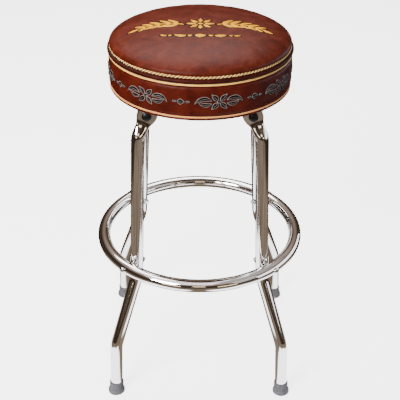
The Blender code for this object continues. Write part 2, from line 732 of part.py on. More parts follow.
def make_swivel_rivet(steel):
    """Hollow rivet that the seat turns on, with one head under the bracket and one over the race."""
    bottom = BRACKET_BOTTOM - GAP
    top = UPPER_PLATE_TOP + GAP
    profile = [
        (PIVOT_BORE, bottom - PIVOT_HEAD_HEIGHT),
        (PIVOT_HEAD_RADIUS * PIVOT_FACE_SHARE, bottom - PIVOT_HEAD_HEIGHT),
        (PIVOT_HEAD_RADIUS, bottom),
        (PIVOT_RADIUS, bottom),
        (PIVOT_RADIUS, top),
        (PIVOT_HEAD_RADIUS, top),
        (PIVOT_HEAD_RADIUS * PIVOT_FACE_SHARE, top + PIVOT_HEAD_HEIGHT),
        (PIVOT_BORE, top + PIVOT_HEAD_HEIGHT),
    ]
    return finish_object(turned(profile, BOLT_STEPS), "swivel_rivet", steel)


def ball_centre(index):
    angle = math.tau * index / BALL_COUNT
    return Vector((RACE_CIRCLE * math.cos(angle), RACE_CIRCLE * math.sin(angle), RACE_HEIGHT))


def make_ball_cage(steel, parent):
    inner = RACE_CIRCLE - CAGE_HALF_WIDTH
    outer = RACE_CIRCLE + CAGE_HALF_WIDTH
    low = RACE_HEIGHT - CAGE_THICKNESS / 2
    high = RACE_HEIGHT + CAGE_THICKNESS / 2
    profile = [(inner, low), (outer, low), (outer, high), (inner, high)]
    cage = finish_object(turned(profile, RACE_STEPS), "ball_cage", steel)
    pocket = around(BALL_RADIUS + GAP, POCKET_SIDES)
    holes = []
    for index in range(BALL_COUNT):
        hole = rod(pocket, -CUT_OVERRUN, CUT_OVERRUN, POCKET_SIDES)
        holes.append(moved(hole, Matrix.Translation(ball_centre(index))))
    cut(cage, gathered(holes), "ball_cage_pockets")
    cage.parent = parent
    return cage


def make_bearing_balls(steel, parent):
    for index in range(BALL_COUNT):
        ball = bmesh.new()
        matrix = Matrix.Translation(ball_centre(index))
        bmesh.ops.create_icosphere(
            ball, subdivisions=BALL_SUBDIVISION_STEPS, radius=BALL_RADIUS, matrix=matrix,
        )
        finish_object(ball, "bearing_ball_%02d" % (index + 1), steel).parent = parent


def screw_places():
    return {
        place: Vector((side_x * SCREW_DISTANCE, side_y * SCREW_DISTANCE, 0))
        for place, (side_x, side_y, _) in LEG_CORNERS.items()
    }


def make_swivel_upper_plate(steel, parent):
    """Square plate with round corners: the upper half of the race, screwed to the board."""
    bm = bmesh.new()
    size = 2 * UPPER_PLATE_HALF
    matrix = Matrix.Translation((0, 0, (UPPER_PLATE_BOTTOM + UPPER_PLATE_TOP) / 2))
    bmesh.ops.create_cube(bm, size=size, matrix=matrix)
    middle = (UPPER_PLATE_BOTTOM + UPPER_PLATE_TOP) / 2
    bmesh.ops.scale(
        bm, vec=(1, 1, UPPER_PLATE_THICKNESS / size),
        space=Matrix.Translation((0, 0, -middle)), verts=bm.verts[:],
    )
    corners = [edge for edge in bm.edges if abs(edge.verts[0].co.z - edge.verts[1].co.z) > GAP]
    bmesh.ops.bevel(
        bm, geom=corners, offset=UPPER_PLATE_CORNER, offset_type="OFFSET", segments=CORNER_STEPS,
        profile=0.5, affect="EDGES", material=-1,
    )
    plate = finish_object(bm, "swivel_upper_plate", steel)
    cut(plate, track_cutter(False), "swivel_upper_plate_track")
    holes = [rod(around(PIVOT_RADIUS + GAP, BOLT_STEPS), UPPER_PLATE_BOTTOM - CUT_OVERRUN,
                 UPPER_PLATE_TOP + CUT_OVERRUN, BOLT_STEPS)]
    for place in screw_places().values():
        hole = rod(around(SCREW_RADIUS + GAP, SMALL_SIDES), UPPER_PLATE_BOTTOM - CUT_OVERRUN,
                   UPPER_PLATE_TOP + CUT_OVERRUN, SMALL_SIDES)
        holes.append(moved(hole, Matrix.Translation(place)))
    cut(plate, gathered(holes), "swivel_upper_plate_holes")
    plate.parent = parent
    return plate


def make_seat_board(plywood, parent):
    profile = [(0, BOARD_BOTTOM), (BOARD_RADIUS, BOARD_BOTTOM), (BOARD_RADIUS, BOARD_TOP), (0, BOARD_TOP)]
    board = finish_object(turned(profile, SEAT_STEPS, closed=False), "seat_board", plywood)
    recess_top = BOARD_BOTTOM + BOARD_RECESS_DEPTH
    recess = rod(BOARD_RECESS_RADIUS, BOARD_BOTTOM - CUT_OVERRUN, recess_top, BOLT_STEPS)
    cut(board, recess, "seat_board_recess")
    barrel = around(TEE_BARREL_RADIUS + GAP, SMALL_SIDES)
    flange = around(TEE_FLANGE_RADIUS + GAP, BOLT_STEPS)
    flange_seat = BOARD_TOP - TEE_FLANGE_THICKNESS - GAP
    for index, place in enumerate(screw_places().values()):
        hole = rod(barrel, BOARD_BOTTOM - CUT_OVERRUN, BOARD_TOP, SMALL_SIDES)
        cut(board, moved(hole, Matrix.Translation(place)), "seat_board_hole_%d" % index)
        sink = rod(flange, flange_seat, BOARD_TOP + CUT_OVERRUN, BOLT_STEPS)
        cut(board, moved(sink, Matrix.Translation(place)), "seat_board_sink_%d" % index)
    board.parent = parent
    return board


def make_tee_nuts(zinc, parent):
    top = BOARD_TOP
    seat = top - TEE_FLANGE_THICKNESS
    bore = around(SCREW_RADIUS + GAP, SMALL_SIDES)
    profile = [
        (bore, seat - TEE_BARREL_LENGTH),
        (TEE_BARREL_RADIUS, seat - TEE_BARREL_LENGTH),
        (TEE_BARREL_RADIUS, seat),
        (TEE_FLANGE_RADIUS, seat),
        (TEE_FLANGE_RADIUS, top),
        (bore, top),
    ]
    for place, centre in screw_places().items():
        nut = moved(turned(profile, SMALL_SIDES), Matrix.Translation(centre))
        finish_object(nut, "tee_nut_" + place, zinc).parent = parent


def make_seat_screws(zinc, parent):
    """Screws up through the upper swivel plate into the tee nuts."""
    seat = UPPER_PLATE_BOTTOM - GAP
    length = BOARD_TOP - TEE_FLANGE_THICKNESS - seat
    for place, centre in screw_places().items():
        screw = domed_bolt(SCREW_RADIUS, length, SCREW_HEAD_RADIUS, SCREW_HEAD_HEIGHT, SMALL_SIDES)
        moved(screw, aim(centre + Vector((0, 0, seat)), (0, 0, -1)))
        finish_object(screw, "seat_screw_" + place, zinc).parent = parent


def band_span():
    """Heights at which the side band's swelling starts and ends."""
    return (
        LOWER_CORD_Z + LOWER_CORD_RADIUS + GAP,
        MIDDLE_CORD_Z - MIDDLE_CORD_RADIUS - GAP,
    )


def band_side():
    """The swelling outer side of the band, bottom to top."""
    low, high = band_span()
    return [
        (BAND_RADIUS + BAND_BULGE * bulge, low + (high - low) * share)
        for share, bulge in BAND_PROFILE_SHARES
    ]


def band_back(inset, lowest):
    """The plainer inner side of the band above a height, bottom to top."""
    side = band_side()
    chosen = side[1:-1:2] + [side[-1]]
    return [(radius - inset, height) for radius, height in chosen if height > lowest]


def make_side_band(vinyl, parent):
    """Band round the side, turned in under the board in a roll below the lower cord."""
    side = band_side()
    lip_top = BOARD_BOTTOM - GAP
    lip_bottom = lip_top - VINYL
    inner_wall = BOARD_RADIUS + GAP
    roll_top = LOWER_CORD_Z - LOWER_CORD_RADIUS - GAP
    profile = [
        (LIP_INNER_RADIUS, lip_bottom),
        (LIP_RADIUS - LIP_CORNER, lip_bottom),
        (LIP_RADIUS, lip_bottom + LIP_CORNER),
        (LIP_RADIUS, roll_top),
        (BAND_GROOVE_RADIUS, roll_top),
        (BAND_GROOVE_RADIUS, side[0][1]),
    ]
    profile += side
    profile += reversed(band_back(VINYL, BOARD_TOP))
    profile += [(inner_wall, BOARD_TOP), (inner_wall, lip_top), (LIP_INNER_RADIUS, lip_top)]
    result = finish_object(turned(profile, SEAT_STEPS), "side_band", vinyl)
    result.parent = parent
    return result


def make_seat_foam(foam, parent):
    """Foam core: swollen side, necks behind the cords and the strip, and a crown."""
    back = VINYL + GAP
    bottom = BOARD_TOP + GAP
    profile = [(0, bottom), (BOARD_RADIUS, bottom)]
    profile += band_back(back, bottom)
    band_top = band_span()[1]
    cord_neck = MIDDLE_CORD_CIRCLE - MIDDLE_CORD_RADIUS - GAP
    strip_bottom = MIDDLE_CORD_Z + MIDDLE_CORD_RADIUS + GAP
    strip_top = UPPER_CORD_Z - UPPER_CORD_RADIUS - GAP
    strip_back = STRIP_RADIUS - STRIP_THICKNESS - GAP
    profile += [
        (cord_neck, band_top),
        (cord_neck, strip_bottom - GAP),
        (strip_back, strip_bottom - GAP),
        (strip_back, strip_top - GAP),
        (FOAM_NECK_RADIUS, strip_top - GAP),
        (FOAM_NECK_RADIUS, CROWN_WIDEST + GAP),
    ]
    profile.append((CROWN_RADIUS - back - GAP, CROWN_WIDEST + GAP))
    profile += crown_curve(back, CROWN_WIDEST, CROWN_RISE - back)[1:]
    result = finish_object(turned(profile, SEAT_STEPS, closed=False), "seat_foam", foam)
    result.parent = parent
    return result


def crown_curve(inset, base, rise):
    """A quarter of an ellipse from the crown's widest line up to its middle."""
    points = []
    for step in range(CROWN_STEPS):
        angle = math.pi / 2 * step / CROWN_STEPS
        points.append(((CROWN_RADIUS - inset) * math.cos(angle), base + rise * math.sin(angle)))
    points.append((0, base + rise))
    return points


def make_top_cover(vinyl, parent):
    """Crowned cover with its edge tucked in over the upper cord."""
    tuck = FOAM_NECK_RADIUS + GAP
    outer = crown_curve(0, CROWN_WIDEST, CROWN_RISE)
    inner = crown_curve(VINYL, CROWN_WIDEST, CROWN_RISE - VINYL)
    profile = list(reversed(outer))
    profile += [
        (CROWN_RADIUS - CROWN_TUCK, CROWN_BOTTOM),
        (tuck, CROWN_BOTTOM),
        (tuck, CROWN_WIDEST),
    ]
    profile += inner
    result = finish_object(turned(profile, SEAT_STEPS, closed=False), "top_cover", vinyl)
    result.parent = parent
    return result


def make_upper_strip(vinyl, parent):
    """Narrow padded strip that swells between the two gold cords."""
    bottom = MIDDLE_CORD_Z + MIDDLE_CORD_RADIUS + GAP
    top = UPPER_CORD_Z - UPPER_CORD_RADIUS - GAP
    back = STRIP_RADIUS - STRIP_THICKNESS
    profile = [(back, bottom)]
    for share, welt in STRIP_PROFILE_SHARES:
        profile.append((STRIP_RADIUS + STRIP_WELT * welt, bottom + (top - bottom) * share))
    profile.append((back, top))
    result = finish_object(turned(profile, SEAT_STEPS), "upper_strip", vinyl)
    result.parent = parent
    return result


def make_cord(name, radius, circle, height, material, parent):
    profile = circle_profile(radius, circle, height, CORD_SIDES)
    result = finish_object(turned(profile, SEAT_STEPS), name, material)
    result.parent = parent
    return result


def make_axis(name):
    """Empty on the swivel's axis, carrying what turns about it."""
    axis = bpy.data.objects.new(name, None)
    axis.empty_display_size = TUBE_RADIUS
    bpy.context.scene.collection.objects.link(axis)
    return axis


def main():
    clear_scene()
    chrome = make_material("chrome plated steel", (0.62, 0.61, 0.60), 0.06, 1.0)
    zinc = make_material("zinc plated steel", (0.55, 0.55, 0.53), 0.3, 1.0)
    black = make_material("black oxide steel", (0.010, 0.010, 0.012), 0.35, 0.9)
    painted = make_material("black painted steel", (0.015, 0.015, 0.015), 0.45, 0.0)
    rubber = make_material("grey rubber", (0.14, 0.14, 0.14), 0.75, 0.0)
    brown = make_material("brown vinyl", (0.20, 0.042, 0.018), 0.42, 0.0)
    band_brown = make_material("dark brown vinyl", (0.095, 0.012, 0.006), 0.40, 0.0)
    gold = make_material("gold cord", (0.72, 0.46, 0.18), 0.5, 0.0)
    tan = make_material("tan cord", (0.68, 0.37, 0.22), 0.5, 0.0)
    foam = make_material("seat foam", (0.80, 0.72, 0.45), 0.9, 0.0)
    plywood = make_material("plywood", (0.46, 0.30, 0.16), 0.7, 0.0)

    for place in LEG_CORNERS:
        make_leg(place, chrome)
        make_foot_cap(place, rubber)
    make_foot_ring(chrome)
    make_ring_fasteners(chrome, zinc)
    make_leg_fasteners(black, zinc)
    make_leg_bracket(painted)
    make_swivel_rivet(zinc)

    cage_axis = make_axis("cage_axis")
    make_ball_cage(zinc, cage_axis)
    make_bearing_balls(zinc, cage_axis)

    seat_axis = make_axis("seat_axis")
    make_swivel_upper_plate(zinc, seat_axis)
    make_seat_screws(zinc, seat_axis)
    make_tee_nuts(zinc, seat_axis)
    make_seat_board(plywood, seat_axis)
    make_seat_foam(foam, seat_axis)
    make_side_band(band_brown, seat_axis)
    make_upper_strip(band_brown, seat_axis)
    make_top_cover(brown, seat_axis)
    make_cord("cord_lower", LOWER_CORD_RADIUS, LOWER_CORD_CIRCLE, LOWER_CORD_Z, tan, seat_axis)
    make_cord("cord_middle", MIDDLE_CORD_RADIUS, MIDDLE_CORD_CIRCLE, MIDDLE_CORD_Z, gold, seat_axis)
    make_cord("cord_upper", UPPER_CORD_RADIUS, UPPER_CORD_CIRCLE, UPPER_CORD_Z, gold, seat_axis)


if __name__ == "__main__":
    main()
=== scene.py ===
"""Dresses a swivel bar stool: chromed legs and foot ring, padded seat, trim, embroidery, studio."""
import math
import random

import bmesh
import bpy
from mathutils import Matrix, Vector
from mathutils.bvhtree import BVHTree


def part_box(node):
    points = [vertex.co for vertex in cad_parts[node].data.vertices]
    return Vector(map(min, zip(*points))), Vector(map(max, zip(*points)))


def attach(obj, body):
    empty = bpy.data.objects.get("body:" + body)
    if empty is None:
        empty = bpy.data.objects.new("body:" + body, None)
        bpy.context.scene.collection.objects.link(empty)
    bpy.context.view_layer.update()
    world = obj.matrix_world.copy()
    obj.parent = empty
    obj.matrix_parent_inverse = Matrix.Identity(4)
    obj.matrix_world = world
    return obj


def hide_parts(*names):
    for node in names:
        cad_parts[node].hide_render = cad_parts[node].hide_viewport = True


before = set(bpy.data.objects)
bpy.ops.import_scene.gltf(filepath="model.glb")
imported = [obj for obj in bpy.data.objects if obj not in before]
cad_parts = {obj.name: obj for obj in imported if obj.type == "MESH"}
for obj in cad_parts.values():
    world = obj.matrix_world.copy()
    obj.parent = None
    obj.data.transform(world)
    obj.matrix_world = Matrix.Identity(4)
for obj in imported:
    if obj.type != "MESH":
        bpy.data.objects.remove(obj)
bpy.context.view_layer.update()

bl_info = {
    "name": "Bar Stool",
    "version": (1, 0, 0),
    "blender": (4, 5, 0),
    "location": "View3D > Sidebar > Stool",
    "description": "Builds a padded swivel bar stool with chromed legs and a foot ring",
    "category": "Add Mesh",
}

SIDES = {
    "front_left": (-1, -1),
    "front_right": (1, -1),
    "rear_left": (-1, 1),
    "rear_right": (1, 1),
}
COVER_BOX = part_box("top_cover")
BAND_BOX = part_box("side_band")
STRIP_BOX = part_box("upper_strip")
RING_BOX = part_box("foot_ring")
BOARD_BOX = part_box("seat_board")

# Closest distance between two vertices of a piece
WELD = 0.00001

# How finely round shapes are divided
LEG_SIDES = 48
BEND_STEPS = 16
CAP_STEPS = 64
RING_STEPS = 192
RING_SIDES = 32
BOLT_SIDES = 36
COVER_STEPS = 96
BAND_STEPS = 128
TURNED_EDGE_STEPS = 240
STRIP_STEPS = 160
CORD_STEPS = 256
CORD_SIDES = 14
STRAND_SIDES = 9
PROFILE_STEPS = 24
STEM_STEPS = 24

# How the covers swell over their padding
CLOTH = {
    "quality": 5,
    "mass": 0.4,
    "tension_stiffness": 20,
    "compression_stiffness": 20,
    "bending_stiffness": 2,
    "use_pressure": True,
    "uniform_pressure_force": 4.0,
    "vertex_group_mass": "pinned",
}
CLOTH_FRAMES = 20


# Units and colours

def linear(code):
    """A hex colour as the eye sees it, turned into the linear values that a shader takes."""
    channels = [int(code[index:index + 2], 16) / 255 for index in (0, 2, 4)]
    return tuple(c / 12.92 if c <= 0.04045 else ((c + 0.055) / 1.055) ** 2.4 for c in channels)


def per_mm(size):
    """Texture scale that repeats once in so many millimetres."""
    return 1000 / size


def length(name, description, default):
    return bpy.props.FloatProperty(
        name=name, description=description, default=default, min=0, precision=4,
        unit="LENGTH", subtype="DISTANCE",
    )


def watts(name, description, power):
    return bpy.props.FloatProperty(name=name, description=description, default=power, min=0)


def turn(name, description, degrees):
    return bpy.props.FloatProperty(
        name=name, description=description, default=math.radians(degrees), unit="ROTATION", subtype="ANGLE",
    )


def colour(name, description, code):
    return bpy.props.FloatVectorProperty(
        name=name, description=description, default=linear(code), size=3, min=0, max=1, subtype="COLOR",
    )


class LegSizes(bpy.types.PropertyGroup):
    """Sizes of the four bent and crushed tube legs."""

    tube_radius: length("Tube radius", "Outer radius of the leg tube", 0.0127)
    tube_wall: length("Tube wall", "Wall of the leg tube, half the thickness of its crushed top", 0.0015)
    foot_circle: length("Foot circle", "Radius that the feet stand on", 0.2465)
    ankle_circle: length("Ankle circle", "Radius of the bends above the feet", 0.2404)
    ankle_height: length("Ankle height", "Height of the bends above the feet", 0.121)
    knee_circle: length("Knee circle", "Radius of the bends under the foot ring", 0.1784)
    knee_height: length("Knee height", "Height of the bends under the foot ring", 0.2675)
    shoulder_x: length("Shoulder X", "Sideways place of the bends under the seat", 0.1162)
    shoulder_y: length("Shoulder Y", "Front and rear place of the bends under the seat", 0.1150)
    bolt_height: length("Bolt height", "Height of the bolts in the crushed tops", 0.6215)
    shoulder_below: length("Shoulder below bolt", "Drop from the bolt to the bend under it", 0.0435)
    tip_above: length("Tip above bolt", "Rise from the bolt to the tip of the leg", 0.0135)
    ankle_bend: length("Ankle bend", "Radius of the bend above the foot", 0.055)
    knee_bend: length("Knee bend", "Radius of the bend under the foot ring", 0.075)
    shoulder_bend: length("Shoulder bend", "Radius of the bend under the seat", 0.045)
    flat_length: length("Flat length", "Length of the crushed flat", 0.0255)
    crush_length: length("Crush length", "Length over which the round turns flat", 0.036)
    full_width_length: length("Full width length", "Length at the tip that keeps its full width", 0.013)
    widening_length: length("Widening length", "Length over which the tube widens", 0.026)
    tip_corner: length("Tip corner", "Radius of the tip's corners", 0.010)
    top_lean: turn("Top lean", "Lean of the crushed tops towards the middle", 22.5)
    front_bearing: turn("Front bearing", "Angle of the front feet from straight ahead", 45.5)
    rear_bearing: turn("Rear bearing", "Angle of the rear feet from straight behind", 47.8)


class FittingSizes(bpy.types.PropertyGroup):
    """Sizes of the foot ring, the caps, the bolts and the nuts."""

    gap: length("Gap", "Clearance between touching pieces", 0.0003)
    ring_height: length("Ring height", "Height of the foot ring's centre line", 0.300)
    ring_tube: length("Ring tube radius", "Outer radius of the foot ring's tube", 0.0127)
    cap_height: length("Cap height", "Height of a rubber cap", 0.026)
    cap_sole: length("Cap sole", "Thickness under the end of the leg tube", 0.006)
    cap_wall: length("Cap wall", "Wall of a rubber cap", 0.0016)
    cap_flare: length("Cap flare", "How far the foot of a cap stands out", 0.0029)
    cap_flare_height: length("Cap flare height", "Height of the flared foot", 0.0085)
    cap_groove: length("Cap groove", "Depth of the grooves round a cap", 0.0007)
    ring_bolt_radius: length("Ring bolt radius", "Radius of the bolts through the ring", 0.003)
    ring_head_radius: length("Ring bolt head radius", "Radius of their domed heads", 0.007)
    ring_head_height: length("Ring bolt head height", "Height of their domed heads", 0.0038)
    ring_nut_across: length("Ring nut across flats", "Width of the nuts inside the ring", 0.010)
    ring_nut_height: length("Ring nut height", "Height of the nuts inside the ring", 0.005)
    ring_nut_flange: length("Ring nut flange radius", "Radius of the nuts' flanges", 0.0066)
    nut_flange_thickness: length("Nut flange thickness", "Thickness of a nut's flange", 0.0014)
    bolt_end: length("Bolt end", "Thread that stands out of a nut", 0.0025)
    leg_bolt_radius: length("Leg bolt radius", "Radius of the bolts in the crushed tops", 0.00475)
    leg_head_radius: length("Leg bolt head radius", "Radius of their domed heads", 0.0092)
    leg_head_height: length("Leg bolt head height", "Height of their domed heads", 0.0052)
    leg_nut_across: length("Leg nut across flats", "Width of the nuts behind the lugs", 0.0143)
    leg_nut_height: length("Leg nut height", "Height of the nuts behind the lugs", 0.008)
    leg_nut_flange: length("Leg nut flange radius", "Radius of the nuts' flanges", 0.0088)
    lug_thickness: length("Lug thickness", "Thickness of the bracket's lugs", 0.003)


class SeatSizes(bpy.types.PropertyGroup):
    """Sizes of the cushion, its covers and its cords."""

    crown_radius: length("Crown radius", "Widest radius of the crowned cover", COVER_BOX[1].x)
    crown_low: length("Crown low", "Height of the crowned cover's lower edge", COVER_BOX[0].z)
    crown_top: length("Crown top", "Height of the middle of the crown", COVER_BOX[1].z)
    band_radius: length("Band radius", "Radius of the side band at the lower cord", 0.1738)
    band_bulge: length("Band bulge", "How far the side band swells between its cords", 0.0030)
    band_top: length("Band top", "Height of the side band's upper edge", BAND_BOX[1].z)
    vinyl: length("Vinyl", "Thickness of the covers", 0.0015)
    strip_radius: length("Strip radius", "Radius of the narrow strip between the gold cords", 0.1718)
    welt: length("Welt", "How far the strip swells between the gold cords", 0.0049)
    upper_cord: length("Upper cord radius", "Radius of the twisted gold cord", 0.0022)
    middle_cord: length("Middle cord radius", "Radius of the smooth gold cord", 0.0018)
    lower_cord: length("Lower cord radius", "Radius of the tan cord", 0.0016)
    roll_radius: length("Roll radius", "Radius of the roll under the tan cord", 0.1742)
    cord_lay: length("Cord lay", "Distance between the strands that show along the twisted cord", 0.0072)
    lip_inner: length("Lip inner radius", "Inner edge of the vinyl that is turned under", 0.145)
    staple_circle: length("Staple circle", "Radius of the circle of staples", 0.1505)
    staple_length: length("Staple length", "Width of a staple's crown", 0.010)
    staple_wire: length("Staple wire", "Radius of the staples' wire", 0.0006)
    voxel: length("Voxel", "Grid of the cloth simulation", 0.004)


class StoolColours(bpy.types.PropertyGroup):
    """Colours of the finishes."""

    crown: colour("Crown", "Main brown of the crowned cover", "50190A")
    crown_dark: colour("Crown shade", "Darker brown in its mottling", "3B1006")
    crown_light: colour("Crown light", "Lighter brown where it is rubbed", "612A1A")
    band: colour("Band", "Main brown of the side band", "4A1308")
    band_dark: colour("Band shade", "Darker brown in its mottling", "320A03")
    band_light: colour("Band light", "Lighter brown in its mottling", "5C1E0D")
    gold: colour("Gold", "Gold of the embroidery", "FFB000")
    pale_gold: colour("Pale gold", "Highlights of the gold embroidery", "FFD40C")
    cord: colour("Cord", "Gold of the two upper cords", "FFBC4E")
    cord_light: colour("Cord light", "Highlights of the gold cords", "FFD68A")
    tan: colour("Tan", "Tan of the lower cord", "F29C50")
    black_thread: colour("Black thread", "Dark thread on the side band", "060304")
    silver_thread: colour("Silver thread", "Pale thread on the side band", "B8A49C")
    outline: colour("Outline", "Dark brown thread round the gold", "140502")
    rubber: colour("Rubber", "Grey of the foot caps", "5C5C60")
    floor: colour("Floor", "Studio floor", "F4F4F3")


# Materials

def add_node(tree, kind, values=None, links=None, stops=(), **attributes):
    """Add a shader node, set its attributes, values and colour stops, and link its inputs.

    A link comes from a socket, or from a node for its first output.
    """
    made = tree.nodes.new(kind)
    for key, value in attributes.items():
        setattr(made, key, value)
    for key, value in (values or {}).items():
        made.inputs[key].default_value = value
    for key, source in (links or {}).items():
        tree.links.new(source.outputs[0] if isinstance(source, bpy.types.Node) else source, made.inputs[key])
    for index, (position, value) in enumerate(stops):
        elements = made.color_ramp.elements
        element = elements[index] if index < 2 else elements.new(position)
        element.position = position
        element.color = rgba(value)
    return made


def new_material(name):
    """A new material, its node tree, its Principled shader and the Object coordinates."""
    material = bpy.data.materials.new(name)
    material.use_nodes = True
    tree = material.node_tree
    place = add_node(tree, "ShaderNodeTexCoord").outputs["Object"]
    return material, tree, tree.nodes["Principled BSDF"], place


def rgba(value):
    """A shader's colour from a hex code or from linear values."""
    return (*(linear(value) if isinstance(value, str) else value), 1.0)


def wear(tree, shader, sockets, sources):
    """Set some of a shader's sockets to plain values and link others to nodes."""
    for key, value in sockets.items():
        shader.inputs[key].default_value = value
    for key, node in sources.items():
        tree.links.new(node.outputs[0], shader.inputs[key])


def grain(size_mm, detail=3.0, roughness=0.55, distortion=0.0):
    """Values for a noise whose features have a size in millimetres."""
    return {"Scale": per_mm(size_mm), "Detail": detail, "Roughness": roughness, "Distortion": distortion}


def mottled(name, mottle, stops=(), gloss=None, relief=None, stretch=(1.0, 1.0, 1.0), **sockets):
    """A material that a noise colours and dulls, with a relief.

    The stops are colours over the mottle, gloss is a range of roughness over it, and relief is
    the values of its own noise, its depth and its strength.
    """
    material, tree, shader, place = new_material(name)
    place = add_node(tree, "ShaderNodeMapping", {"Scale": stretch}, {"Vector": place})
    noise = add_node(tree, "ShaderNodeTexNoise", mottle, {"Vector": place})
    sources = {}
    if stops:
        sources["Base Color"] = add_node(tree, "ShaderNodeValToRGB", links={"Fac": noise}, stops=stops)
    if gloss:
        low, high = gloss
        sources["Roughness"] = add_node(
            tree, "ShaderNodeMapRange", {"To Min": low, "To Max": high}, {"Value": noise},
        )
    if relief:
        values, depth, strength = relief
        height = add_node(tree, "ShaderNodeTexNoise", values, {"Vector": place})
        sources["Normal"] = add_node(
            tree, "ShaderNodeBump", {"Distance": depth, "Strength": strength}, {"Height": height},
        )
    wear(tree, shader, {key.replace("_", " "): value for key, value in sockets.items()}, sources)
    return material


def leathercloth(name, tones, patch_mm, gloss):
    """Grained vinyl: rubbed two-tone colour in soft patches over a pebbled grain.

    The real grain is about 1 mm, and is drawn at 2 mm so that it shows.
    """
    dark, main, light = tones
    low, high = gloss
    material, tree, shader, place = new_material(name)
    patches = add_node(tree, "ShaderNodeTexNoise", grain(patch_mm, 5, 0.6, 0.3), {"Vector": place})
    tone = add_node(
        tree, "ShaderNodeValToRGB", links={"Fac": patches}, stops=[(0.25, dark), (0.5, main), (0.78, light)],
    )
    cells = add_node(
        tree, "ShaderNodeTexVoronoi", {"Scale": per_mm(2.1), "Smoothness": 0.7, "Randomness": 0.9},
        {"Vector": place}, feature="SMOOTH_F1",
    )
    valleys = add_node(
        tree, "ShaderNodeValToRGB", links={"Fac": cells},
        stops=[(0.25, (1, 1, 1)), (0.75, (0.72, 0.70, 0.70))],
    )
    grained = add_node(
        tree, "ShaderNodeMix", {"Factor": 0.6}, {"A": tone, "B": valleys},
        data_type="RGBA", blend_type="MULTIPLY",
    )
    tree.links.new(grained.outputs["Result"], shader.inputs["Base Color"])
    pebbles = add_node(tree, "ShaderNodeMapRange", {"To Min": 1.0, "To Max": 0.0}, {"Value": cells})
    creases = add_node(tree, "ShaderNodeTexNoise", grain(7, 4, 0.6), {"Vector": place})
    soft = add_node(tree, "ShaderNodeBump", {"Distance": 0.0006, "Strength": 0.28}, {"Height": creases})
    wear(tree, shader, {"Specular IOR Level": 0.08}, {
        "Roughness": add_node(
            tree, "ShaderNodeMapRange", {"To Min": low, "To Max": high}, {"Value": patches},
        ),
        "Normal": add_node(
            tree, "ShaderNodeBump", {"Distance": 0.00028, "Strength": 0.5},
            {"Height": pebbles, "Normal": soft},
        ),
    })
    return material


def plied_cord(name, tones, node, radius):
    """Two plies of gold yarn: painted highlight where a ply stands out, painted shade deep in the groove."""
    dark, main, light = tones
    material, tree, shader, place = new_material(name)
    low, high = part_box(node)
    parts = add_node(tree, "ShaderNodeSeparateXYZ", links={"Vector": place}).outputs
    flat = add_node(tree, "ShaderNodeCombineXYZ", links={"X": parts["X"], "Y": parts["Y"]})
    off_axis = add_node(tree, "ShaderNodeVectorMath", links={0: flat}, operation="LENGTH").outputs["Value"]
    out = add_node(tree, "ShaderNodeMath", {1: high.x - radius}, {0: off_axis}, operation="SUBTRACT")
    up = add_node(tree, "ShaderNodeMath", {1: (low.z + high.z) / 2}, {0: parts["Z"]}, operation="SUBTRACT")
    within = add_node(tree, "ShaderNodeCombineXYZ", links={"X": out, "Y": up})
    reach = add_node(tree, "ShaderNodeVectorMath", links={0: within}, operation="LENGTH").outputs["Value"]
    # Colour by distance from the cord's middle line: painted shade deep in the groove, painted highlight on
    # the plies
    share = add_node(
        tree, "ShaderNodeMapRange", {"From Min": radius * 0.62, "From Max": radius * 1.04}, {"Value": reach},
    )
    fibres = add_node(tree, "ShaderNodeTexNoise", grain(1.2, 3, 0.7), {"Vector": place})
    wear(tree, shader, {"Roughness": 0.45}, {
        "Base Color": add_node(
            tree, "ShaderNodeValToRGB", links={"Fac": share},
            stops=[(0.0, dark), (0.45, main), (0.85, light)],
        ),
        "Normal": add_node(
            tree, "ShaderNodeBump", {"Distance": 0.0003, "Strength": 0.5}, {"Height": fibres},
        ),
    })
    return material


def satin_stitch(name, dark, main, light):
    """Embroidery in satin stitch: threads lie side by side across each stroke.

    The real threads are 0.4 mm apart. They are drawn as bands 7 mm apart so that they show,
    because the wave repeats after tau / 20 at a scale of one.
    """
    material, tree, shader, _ = new_material(name)
    along = add_node(tree, "ShaderNodeUVMap", uv_map="thread")
    lines = add_node(
        tree, "ShaderNodeTexWave",
        {"Scale": per_mm(1.1) / 20, "Distortion": 0.6, "Detail": 1.0, "Detail Scale": 2.0},
        {"Vector": along}, bands_direction="X",
    ).outputs["Fac"]
    wear(tree, shader, {"Roughness": 0.5, "Specular IOR Level": 0.08}, {
        # Colour follows the thread relief: painted shade in the grooves between threads, painted highlight
        # on their crowns
        "Base Color": add_node(
            tree, "ShaderNodeValToRGB", links={"Fac": lines},
            stops=[(0.0, dark), (0.45, main), (0.9, light)],
        ),
        "Normal": add_node(tree, "ShaderNodeBump", {"Distance": 0.0003, "Strength": 0.5}, {"Height": lines}),
    })
    return material


def rayon_yarn(name, tones, roughness):
    """Smooth rayon cord: silky, with painted highlights on its fibres in fine streaks."""
    fibres = grain(1.4, 3, 0.7)
    return mottled(
        name, fibres, list(zip((0.28, 0.5, 0.75), tones)), relief=(fibres, 0.0004, 0.6),
        Roughness=roughness, Sheen_Weight=0.35, Sheen_Roughness=0.4,
    )


